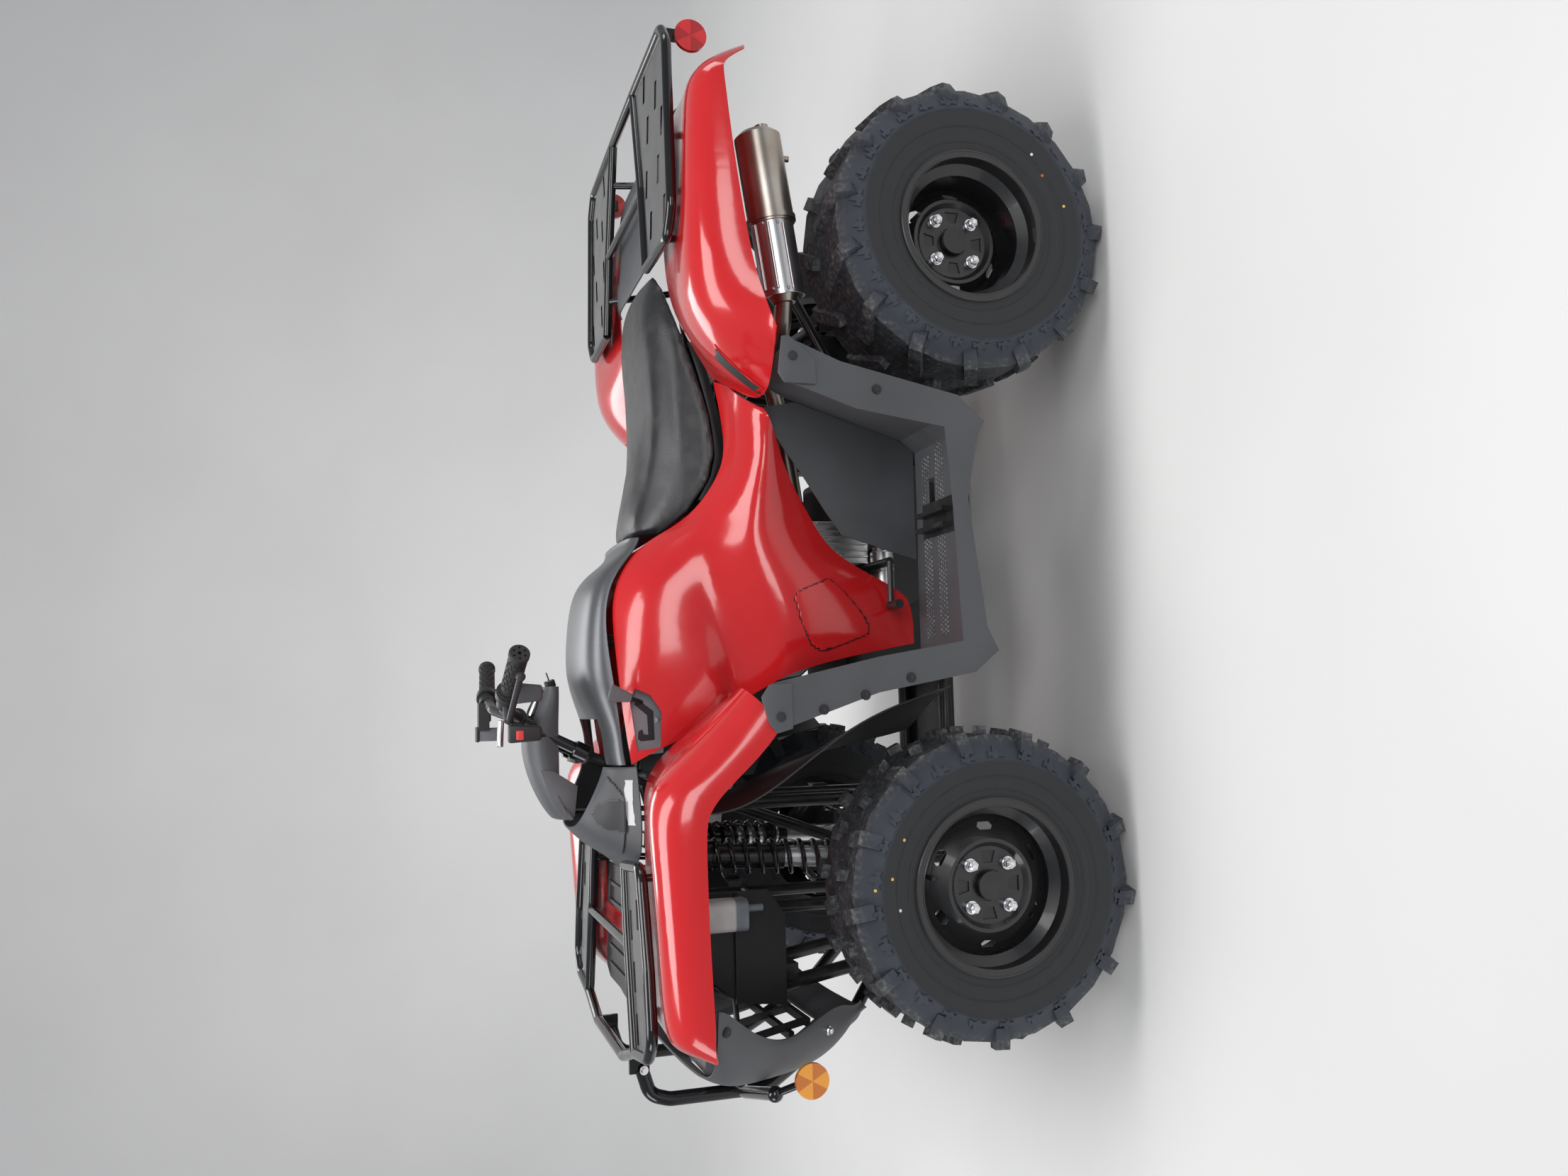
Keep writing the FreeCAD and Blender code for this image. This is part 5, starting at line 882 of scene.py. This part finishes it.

# The dark red ring round the lid is painted shade in the gap between lid and cover.
settle(laid_patch(grown(lid_line, 0.0026), "side_covers", 1.0, 0.0007, 0.0004, painted_groove_shade,
                  0.005, 0.0), "oil_lid_gap", "chassis")
settle(laid_patch(lid_line, "side_covers", 1.0, 0.0010, 0.0016, panel_red, 0.005, 0.0007),
       "oil_lid", "chassis")
for side_name, side in sides:
    line = [(x, y * side) for x, y in fender_label]
    settle(laid_patch(grown(line, 0.009), "rear_fenders", 0.0, 0.0002, 0.0020, panel_red,
                      edge=0.0008), "label_frame_" + side_name, "chassis")
    settle(laid_patch(line, "rear_fenders", 0.0, 0.0040, 0.0006, label_blank, edge=0.0),
           "label_blank_" + side_name, "chassis")
for side_name, side in sides:
    settle(laid_patch(facet, "cowl", side, 0.0008, 0.0034, moulded_grey, 0.004, 0.0012),
           "cowl_facet_" + side_name, "chassis")
    settle(laid_patch(grown(arch, 0.004), "cowl", side, 0.0064, 0.0012, moulded_grey, 0.004,
                      0.0005), "cowl_arch_rim_" + side_name, "chassis")
    # The arch's recess is a black sheet laid over the facet: painted shade.
    settle(laid_patch(arch, "cowl", side, 0.0092, 0.0006, moulded_black, 0.004, 0.0),
           "cowl_arch_" + side_name, "chassis")
    settle(laid_patch([(x, y * side) for x, y in cowl_label], "cowl", 0.0, 0.0003, 0.0006,
                      label_pale, edge=0.0), "cowl_label_" + side_name, "chassis")

# Floor boards: two strips on each floor with rows of raised studs that grip a boot, in the
# same grey plastic but drawn paler, in a tone that varies at random.

stud_pitch = 0.0092
stud_row = 0.0095
stud_strips = ((0.388, 4, 0.149, -0.225), (0.452, 4, 0.146, -0.250))

stud_grey = surface("stud_grey", (0.15, 0.152, 0.158), 0.55)
varied(stud_grey, "Base Color", noise(stud_grey, 60.0, 4.0), (0.35, (0.085, 0.087, 0.092)),
       (0.65, (0.24, 0.24, 0.245)))
stud = round_bar(0.0026, 0.0, 0.0016, stud_grey, 8, 0.0008)
for side_name, side in sides:
    studs = []
    for near, rows, front, back in stud_strips:
        for row in range(rows):
            for k in range(int((front - back) / stud_pitch)):
                x = front - stud_pitch * (k + 0.5 * (row % 2))
                hit, place, normal, face = nodes["footwells"].ray_cast(
                    Vector((x, side * (near + row * stud_row), 0.372)), Vector((0.0, 0.0, -1.0)))
                if hit and 0.330 < place.z < 0.350 and normal.z > 0.9:
                    studs.append(copied(stud, place, normal))
    settle(gathered(studs), "boot_studs_" + side_name, "chassis", stud_grey)
put_away(stud)

# Flap tops: the grey flap rises behind the end of each front fender, with a shoulder that
# laps it, and a clip through both. A filler does the same between rear flap and fender.

shoulders = {"front": ((0.318, 0.700), (0.326, 0.729), (0.310, 0.743), (0.262, 0.757),
                       (0.240, 0.742), (0.238, 0.700)),
             "rear": ((-0.302, 0.640), (-0.302, 0.700), (-0.320, 0.712), (-0.388, 0.704),
                      (-0.390, 0.690), (-0.345, 0.640))}
shoulder_face = 0.5915
shoulder_wall = 0.0045
shoulder_clips = ((0.297, 0.722), (-0.352, 0.684))


def slab(points, way, edge, segments=2):
    """A plate of the drawn outline, as thick as way, with broken edges."""
    plate = drawn(points)
    extrude(way)
    bpy.ops.mesh.select_all(action="SELECT")
    bpy.ops.mesh.normals_make_consistent(inside=False)
    bpy.ops.mesh.bevel(offset=edge, segments=segments, affect="EDGES")
    close()
    return plate


for label, line in shoulders.items():
    for side_name, side in sides:
        settle(slab([(x, side * shoulder_face, z) for x, z in line],
                    (0.0, side * shoulder_wall, 0.0), 0.0014),
               label + "_flap_shoulder_" + side_name, "chassis", moulded_grey)
shoulder_clip = round_bar(0.0088, 0.0, 0.0022, moulded_black, 24, 0.0010)
shoulder_clip = gathered([shoulder_clip, round_bar(0.0045, 0.0022, 0.0036, moulded_black, 16,
                                                   0.0008)])
lapped = []
for side_name, side in sides:
    for x, z in shoulder_clips:
        lapped.append(copied(shoulder_clip, (x, side * (shoulder_face + shoulder_wall), z),
                             (0.0, side, 0.0)))
put_away(shoulder_clip)
settle(gathered(lapped), "shoulder_clips", "chassis", moulded_black)

# Fixings: plastic clips that hold the flaps to the footwells and the nose, and bright
# flanged bolts in the wings and the guard. Each is modelled once and copied.

clip_places = (("footwells", 0.286, 0.640), ("footwells", 0.262, 0.560),
               ("footwells", 0.232, 0.470), ("footwells", -0.330, 0.655),
               ("footwells", -0.300, 0.520), ("front_fascia", 0.834, 0.820))
bolt_places = (("front_fascia", 0.892, 0.579), ("front_guard", 0.984, 0.894))


def scattered(model, places, name, material):
    """Copies of a fixing wherever a line from either side meets the piece named."""
    set_down = []
    for node, x, z in places:
        for side_name, side in sides:
            hit, place, normal, face = nodes[node].ray_cast(Vector((x, 0.9 * side, z)),
                                                            Vector((0.0, -side, 0.0)))
            if hit and normal.y * side > 0.25:
                set_down.append(copied(model, place, normal, x * 40.0))
    put_away(model)
    settle(gathered(set_down), name, "chassis", material)


clip = stepped(24, 0.0095, 0.0, 0.0016, (0.0018, 0.0016), (0.0024, -0.0008), (0.0012, 0.0012))
washer = stepped(24, 0.0088, 0.0, 0.0016, (0.0012, 0.0009))
flanged = gathered([stepped(6, 0.0062, 0.00225, 0.00775, (0.0009, 0.0007)), washer])
scattered(clip, clip_places, "flap_clips", moulded_black)
scattered(flanged, bolt_places, "bright_bolts", nut_chrome)

# Lamps: fluted clear lenses over bright bowls in front and pressed red ones behind. The
# bowls' bright reflection is painted into the front lenses' colour, as bands of light and dark
# along the flutes. The round reflectors are moulded in prisms, and the light they catch is
# painted as six wedges by turns lighter and darker.

flute_scale = 26.0
amber_centre = (0.957, 0.640)
red_centre = (-1.028, 0.822)


def painted_prism_wedges(material, centre, dark, light):
    """Six wedges round a lens's own centre, each other one painted lighter: painted light and
    shade of the prisms.
    """
    tree = material.node_tree
    fan = tree.nodes.new("ShaderNodeTexGradient")
    fan.gradient_type = "RADIAL"
    face_on = own_place(material, Rotation=(-math.pi / 2.0, 0.0, 0.0),
                        Location=(-centre[0], -centre[1], 0.0))
    tree.links.new(face_on, fan.inputs["Vector"])
    stops = []
    for k in range(6):
        tone = light if k % 2 else dark
        stops += [(k / 6.0 + 0.004, tone), ((k + 1) / 6.0 - 0.004, tone)]
    varied(material, "Base Color", fan.outputs["Fac"], *stops)
    raised(material, noise(material, 380.0, 1.0), 0.0008, 0.6)


# Painted reflection: the lens colour runs from dark to bright along the flutes, standing in for
# the bowls' light.
lens_painted_reflection = surface("lens_painted_reflection", (0.8, 0.82, 0.84), 0.08, coat=0.5)
flutes_and_reflections = lens_painted_reflection.node_tree.nodes.new("ShaderNodeTexWave")
flutes_and_reflections.bands_direction = "Y"
flutes_and_reflections.wave_profile = "SAW"
flutes_and_reflections.inputs["Scale"].default_value = flute_scale
lens_painted_reflection.node_tree.links.new(own_place(lens_painted_reflection), flutes_and_reflections.inputs["Vector"])
varied(lens_painted_reflection, "Base Color", flutes_and_reflections.outputs["Fac"], (0.0, (0.16, 0.17, 0.18)),
       (0.3, (0.55, 0.57, 0.60)), (0.75, (0.82, 0.84, 0.86)), (1.0, (0.30, 0.31, 0.33)))
raised(lens_painted_reflection, flutes_and_reflections.outputs["Fac"], 0.001, 0.5)
dress(["headlights"], lens_painted_reflection)
lens_red = surface("lens_red", (0.45, 0.012, 0.012), 0.12, coat=0.6)
raised(lens_red, noise(lens_red, 260.0, 1.0), 0.0008, 0.6)
dress(["tail_lights"], lens_red)
# The reflectors' lighter and darker wedges are painted light and shade, as their prisms catch the
# lamps.
lens_amber = surface("lens_amber", (0.85, 0.26, 0.02), 0.1, coat=0.8)
painted_prism_wedges(lens_amber, amber_centre, (0.62, 0.17, 0.01), (0.92, 0.36, 0.03))
dress(["front_reflectors"], lens_amber)
lens_disc_red = surface("lens_disc_red", (0.55, 0.01, 0.015), 0.1, coat=0.8)
painted_prism_wedges(lens_disc_red, red_centre, (0.42, 0.008, 0.012), (0.66, 0.018, 0.024))
dress(["rear_reflectors"], lens_disc_red)

# Racks and guard: bent steel tube and slotted plate in a glossy black powder coat, which
# flows a little over the welds.

rack_black = surface("rack_black", (0.006, 0.006, 0.007), 0.24, coat=0.3)
varied(rack_black, "Roughness", noise(rack_black, 14.0, 5.0), (0.4, 0.1), (0.75, 0.26))
raised(rack_black, noise(rack_black, 90.0, 2.0), 0.0006, 0.2)
dress(["front_rack", "rear_rack", "front_guard"], rack_black)

# Bar risers: two black tubes from the clamps down to the stem, seen below the cover, and
# the cover's side panels, which fall away towards the cowl, in a lighter copy of its grey:
# painted light.

riser_top = Vector((0.305, 0.060, 1.112))
riser_foot = Vector((0.372, 0.060, 0.978))
pod_side = ((0.502, 0.084, 1.019), (0.492, 0.084, 1.010), (0.432, 0.080, 1.003),
            (0.400, 0.079, 1.052), (0.397, 0.078, 1.080), (0.462, 0.082, 1.058),
            (0.490, 0.084, 1.040))
pod_wall = 0.003
pod_edge = 0.0009

# Painted light: the side panels are the cover's grey plastic drawn lighter.
lit_side_grey = moulded("lit_side_grey", (0.115, 0.118, 0.126), 0.5)
riser = gathered([round_bar(0.0145, 0.0, 0.150, rack_black, 28, 0.002),
                  round_bar(0.020, 0.118, 0.146, rack_black, 28, 0.003)])
for side_name, side in sides:
    start = Vector((riser_top.x, riser_top.y * side, riser_top.z))
    settle(copied(riser, start, (riser_foot - riser_top).normalized()),
           "bar_riser_" + side_name, "steering", rack_black)
    settle(slab([(x, y * side, z) for x, y, z in pod_side], (0.0, side * pod_wall, 0.0), pod_edge),
           "pod_side_panel_" + side_name, "steering", lit_side_grey)
put_away(riser)

# Bar ends: soft rubber grips with raised pads in rows, a thick flange at each end and a
# drilled cap. They are pushed over the bar on both sides.

grip_outer = Vector((0.178, 0.373, 1.151))
grip_inner = Vector((0.250, 0.250, 1.160))
pad_size = (0.0030, 0.0078, 0.0098)
pad_rows, pads_round = 8, 10
pad_pitch = 0.0128
cap_holes = 6
hole_circle = 0.0115

dress(["grips"], grip_rubber)
pad = box_of((0.0, 0.0, 0.0), pad_size)
eased(0.0007, 2)
pads = []
for row in range(pad_rows):
    for k in range(pads_round):
        angle = 2.0 * math.pi * (k + 0.5 * (row % 2)) / pads_round
        pads.append(placed(pad, Matrix.Rotation(angle, 4, "Z")
                           @ Matrix.Translation((0.0163, 0.0, -0.009 - pad_pitch * row))))
put_away(pad)
cap = round_bar(0.0195, -0.002, 0.0066, grip_rubber, 40, 0.0022)
drills = []
for k in range(cap_holes):
    angle = 2.0 * math.pi * k / cap_holes
    drills.append(cylinder(14, 0.0021, 0.0026, 0.0126, hole_circle * math.cos(angle),
                           hole_circle * math.sin(angle)))
drills = gathered(drills + [cylinder(18, 0.0036, 0.0016, 0.0136)])
take(cap)
worked(cap, "BOOLEAN", operation="DIFFERENCE", object=drills, solver="EXACT")
put_away(drills)
sleeve_end = gathered([cap] + pads)
sleeve_end.data.materials.clear()
sleeve_end.data.materials.append(grip_rubber)
grip_way = (grip_outer - grip_inner).normalized()
for side_name, side in sides:
    aim = Vector((grip_way.x, grip_way.y * side, grip_way.z))
    place = Vector((grip_outer.x, grip_outer.y * side, grip_outer.z)) + aim * 0.0062
    settle(copied(sleeve_end, place, aim), "grip_pads_" + side_name, "steering", grip_rubber)
put_away(sleeve_end)

# Bar units: on the left the bracket ahead of the grip with the red reverse button on its
# face and the lever's plated perch, on the right the brake reservoir, and a switch block
# hung below each grip's flange.

button_red = surface("button_red", (0.72, 0.05, 0.05), 0.35)
varied(button_red, "Roughness", noise(button_red, 300.0, 2.0), (0.3, 0.3), (0.7, 0.45))
reservoir_grey = surface("reservoir_grey", (0.16, 0.155, 0.17), 0.4)
varied(reservoir_grey, "Base Color", noise(reservoir_grey, 20.0, 3.0),
       (0.3, (0.13, 0.128, 0.14)), (0.7, (0.19, 0.185, 0.20)))

for name, low, high, material, edge, taper in (
        ("lever_bracket", (0.300, 0.252, 1.098), (0.336, 0.276, 1.160), moulded_black,
         0.005, 0.004),
        ("reverse_button", (0.312, 0.274, 1.132), (0.330, 0.281, 1.146), button_red,
         0.0022, 0.0),
        ("switch_block_left", (0.222, 0.258, 1.098), (0.262, 0.292, 1.146), moulded_grey,
         0.005, 0.005),
        ("switch_block_right", (0.222, -0.292, 1.104), (0.262, -0.258, 1.146), moulded_grey,
         0.005, 0.005),
        ("brake_reservoir", (0.311, -0.250, 1.136), (0.341, -0.208, 1.182), reservoir_grey,
         0.003, 0.0),
        ("reservoir_lid", (0.309, -0.252, 1.180), (0.343, -0.206, 1.187), moulded_black,
         0.002, 0.0)):
    block(name, low, high, "steering", material, edge, taper)
perch = round_bar(0.0062, -0.024, 0.024, plated_steel, 20)
settle(copied(perch, (0.318, 0.226, 1.171), (0.97, 0.15, 0.05)), "plated_perch", "steering",
       plated_steel)
put_away(perch)

# Display: a smoked window let into the cover over the bar, with a moulded frame round it,
# and below it the ignition lock with its key.

display = [(0.236, 0.040), (0.236, -0.040), (0.296, -0.046), (0.296, 0.046)]

window_glass = surface("window_glass", (0.01, 0.011, 0.013), 0.06, coat=1.0)
varied(window_glass, "Roughness", noise(window_glass, 25.0, 3.0), (0.3, 0.04), (0.7, 0.14))
settle(laid_patch(grown(display, 0.006), "handlebar_pod", 0.0, 0.0002, 0.0024, moulded_black,
                  edge=0.0009), "display_frame", "steering")
settle(laid_patch(display, "handlebar_pod", 0.0, 0.0027, 0.0006, window_glass, edge=0.0),
       "display_window", "steering")
ignition = gathered([round_bar(0.0115, 0.0, 0.012, moulded_black, 28, 0.0015),
                     round_bar(0.0062, 0.011, 0.0135, plated_steel, 20, 0.0006)])
key_bow = block("key_bow", (-0.0075, -0.0012, 0.0120), (0.0075, 0.0012, 0.0310), "steering",
                moulded_black, 0.0010)
ignition = gathered([ignition, key_bow])
fitted = copied(ignition, (0.226, 0.030, 1.050), (-0.85, 0.12, 0.30))
put_away(ignition)
settle(fitted, "ignition_and_key", "steering")

# Selector: a satin grey tray with a J-shaped slot, drawn as a black sheet on the tray in
# painted shade, and a lever whose funnel-shaped knob stands above the side cover's shoulder.

tray_line = ((0.366, 0.900), (0.262, 0.921), (0.230, 0.909), (0.246, 0.876), (0.283, 0.851),
             (0.361, 0.851))
slot_line = ((0.342, 0.892), (0.337, 0.898), (0.322, 0.897), (0.318, 0.889), (0.328, 0.886),
             (0.329, 0.877), (0.290, 0.879), (0.268, 0.905), (0.256, 0.900), (0.282, 0.866),
             (0.340, 0.864))
knob_place = (0.250, 0.236, 0.938)
knob_lean = -0.25
knob_flat = 0.72

tray_grey = surface("tray_grey", (0.27, 0.285, 0.31), 0.42, metallic=0.2)
raised(tray_grey, noise(tray_grey, 900.0, 2.0), 0.0002, 0.4)
dress(["selector_lever"], tray_grey)
knob_grey = moulded("knob_grey", (0.12, 0.124, 0.132), 0.45)
# The slot is a black sheet laid on the tray: painted shade.
for label, line, start, wall, finish in (
        ("gate_tray", tray_line, 0.1932, 0.0014, tray_grey),
        ("gate_slot", slot_line, 0.1947, 0.0006, moulded_black)):
    settle(slab([(x, start, z) for x, z in line], (0.0, wall, 0.0), wall * 0.3, 1), label,
           "chassis", finish)
leave_selection()
bpy.ops.mesh.primitive_cone_add(vertices=32, radius1=0.0085, radius2=0.0178, depth=0.040,
                                location=(0.0, 0.0, 0.0))
knob = bpy.context.object
topped(knob, ((0.0, 0.002), (0.0016, 0.0018), (0.0055, 0.0012)))
knob.data.transform(Matrix.Translation(knob_place) @ Matrix.Rotation(knob_lean, 4, "Y")
                    @ Matrix.Scale(knob_flat, 4, (0.0, 1.0, 0.0)))
settle(knob, "selector_knob", "chassis", knob_grey)
arm = round_bar(0.0048, 0.0, 0.052, moulded_black, 16, 0.0012)
settle(copied(arm, (0.264, 0.192, 0.890), (-0.16, 0.80, 0.58)), "selector_arm", "chassis",
       moulded_black)
put_away(arm)

# Seat: moulded foam on a plastic base under one stretched vinyl cover, grained like
# leather. Staples hold the cover under the base's edge, and it swells between them.

seat_cap = 0.007
seat_voxel = 0.006
vinyl_pull = {"quality": 5, "use_pressure": True, "uniform_pressure_force": 4.0,
              "tension_stiffness": 40.0, "compression_stiffness": 40.0,
              "shear_stiffness": 20.0, "bending_stiffness": 12.0, "shrink_min": 0.03,
              "vertex_group_mass": "stapled"}
seat_frames = 20
staple_lean = -0.35
# Where the rubber feet below the base stand, and how high they go up into the foam.
seat_feet = ((-0.150, 0.776), (-0.400, 0.770))
foot_half = 0.014
foot_below = 0.725
cover_inset = 0.0015
cover_rise = 0.0025

seat_vinyl = surface("seat_vinyl", (0.021, 0.021, 0.023), 0.34)
dusty = noise(seat_vinyl, 26.0, 7.0)
varied(seat_vinyl, "Roughness", dusty, (0.35, 0.3), (0.62, 0.4), (0.8, 0.6))
varied(seat_vinyl, "Base Color", dusty, (0.5, (0.019, 0.019, 0.021)),
       (0.85, (0.040, 0.040, 0.041)))
raised(seat_vinyl, noise(seat_vinyl, 420.0, 5.0), 0.0006, 0.6)
dress(["seat"], seat_vinyl)

pad = bpy.data.objects.new("seat_cover", nodes["seat"].data.copy())
bpy.context.collection.objects.link(pad)
take(pad)
edit("VERT")
bpy.ops.mesh.remove_doubles(threshold=0.00002)
close()
for foot_x, foot_top in seat_feet:
    for vertex in pad.data.vertices:
        if abs(vertex.co.x - foot_x) < foot_half and vertex.co.z < foot_below:
            vertex.co.z = foot_top
worked(pad, "REMESH", mode="VOXEL", voxel_size=seat_voxel)
edit("VERT")
bpy.ops.transform.shrink_fatten(value=-cover_inset)
bpy.ops.mesh.vertices_smooth(factor=0.5, repeat=3)
close()
before = [vertex.co.copy() for vertex in pad.data.vertices]
lean = {}
for face in pad.data.polygons:
    for k in face.vertices:
        lean[k] = min(lean.get(k, 1.0), face.normal.z)
held = [k for k in lean if lean[k] < staple_lean]
pad.vertex_groups.new(name="stapled").add(held, 1.0, "REPLACE")
swell = pad.modifiers.new("swell", "CLOTH")
for key, value in vinyl_pull.items():
    setattr(swell.settings, key, value)
swell.settings.effector_weights.gravity = 0.0
swell.point_cache.frame_start = 1
swell.point_cache.frame_end = seat_frames
for step in range(1, seat_frames + 1):
    bpy.context.scene.frame_set(step)
bpy.ops.object.modifier_apply(modifier="swell")
bpy.context.scene.frame_set(1)
for vertex, start in zip(pad.data.vertices, before):
    moved = vertex.co - start
    if moved.length > seat_cap:
        vertex.co = start + moved * (seat_cap / moved.length)
# The cover is pulled taut over the foam, so its folds are drawn out again above the
# staples.
edit("VERT")
bpy.ops.mesh.vertices_smooth(factor=0.6, repeat=24)
bpy.ops.transform.shrink_fatten(value=cover_rise)
close()
for k in held:
    pad.data.vertices[k].co = before[k]
edit("VERT")
bpy.ops.mesh.vertices_smooth(factor=0.4, repeat=2)
close()
worked(pad, "SUBSURF", levels=1, render_levels=1)
settle(pad, "seat_cover", "chassis", seat_vinyl, 60.0)
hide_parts("seat")

# Seat base: a black plastic pan below the cover, turned down all round. It holds the foam
# and closes the slot between the seat and the side covers.

base_line = ((-0.150, 0.769), (-0.205, 0.741), (-0.245, 0.733), (-0.285, 0.7355),
             (-0.325, 0.741), (-0.365, 0.7505), (-0.405, 0.7615), (-0.445, 0.7735),
             (-0.485, 0.7865))
base_depth = 0.024
base_low = 0.711
base_half = 0.206

pan_line = [(x, z - 0.0015) for x, z in base_line]
pan_line += [(x, max(z - base_depth, base_low)) for x, z in reversed(base_line)]
settle(slab([(x, -base_half, z) for x, z in pan_line], (0.0, 2.0 * base_half, 0.0), 0.003),
       "seat_base", "chassis", moulded("base_black", (0.012, 0.012, 0.013), 0.5))
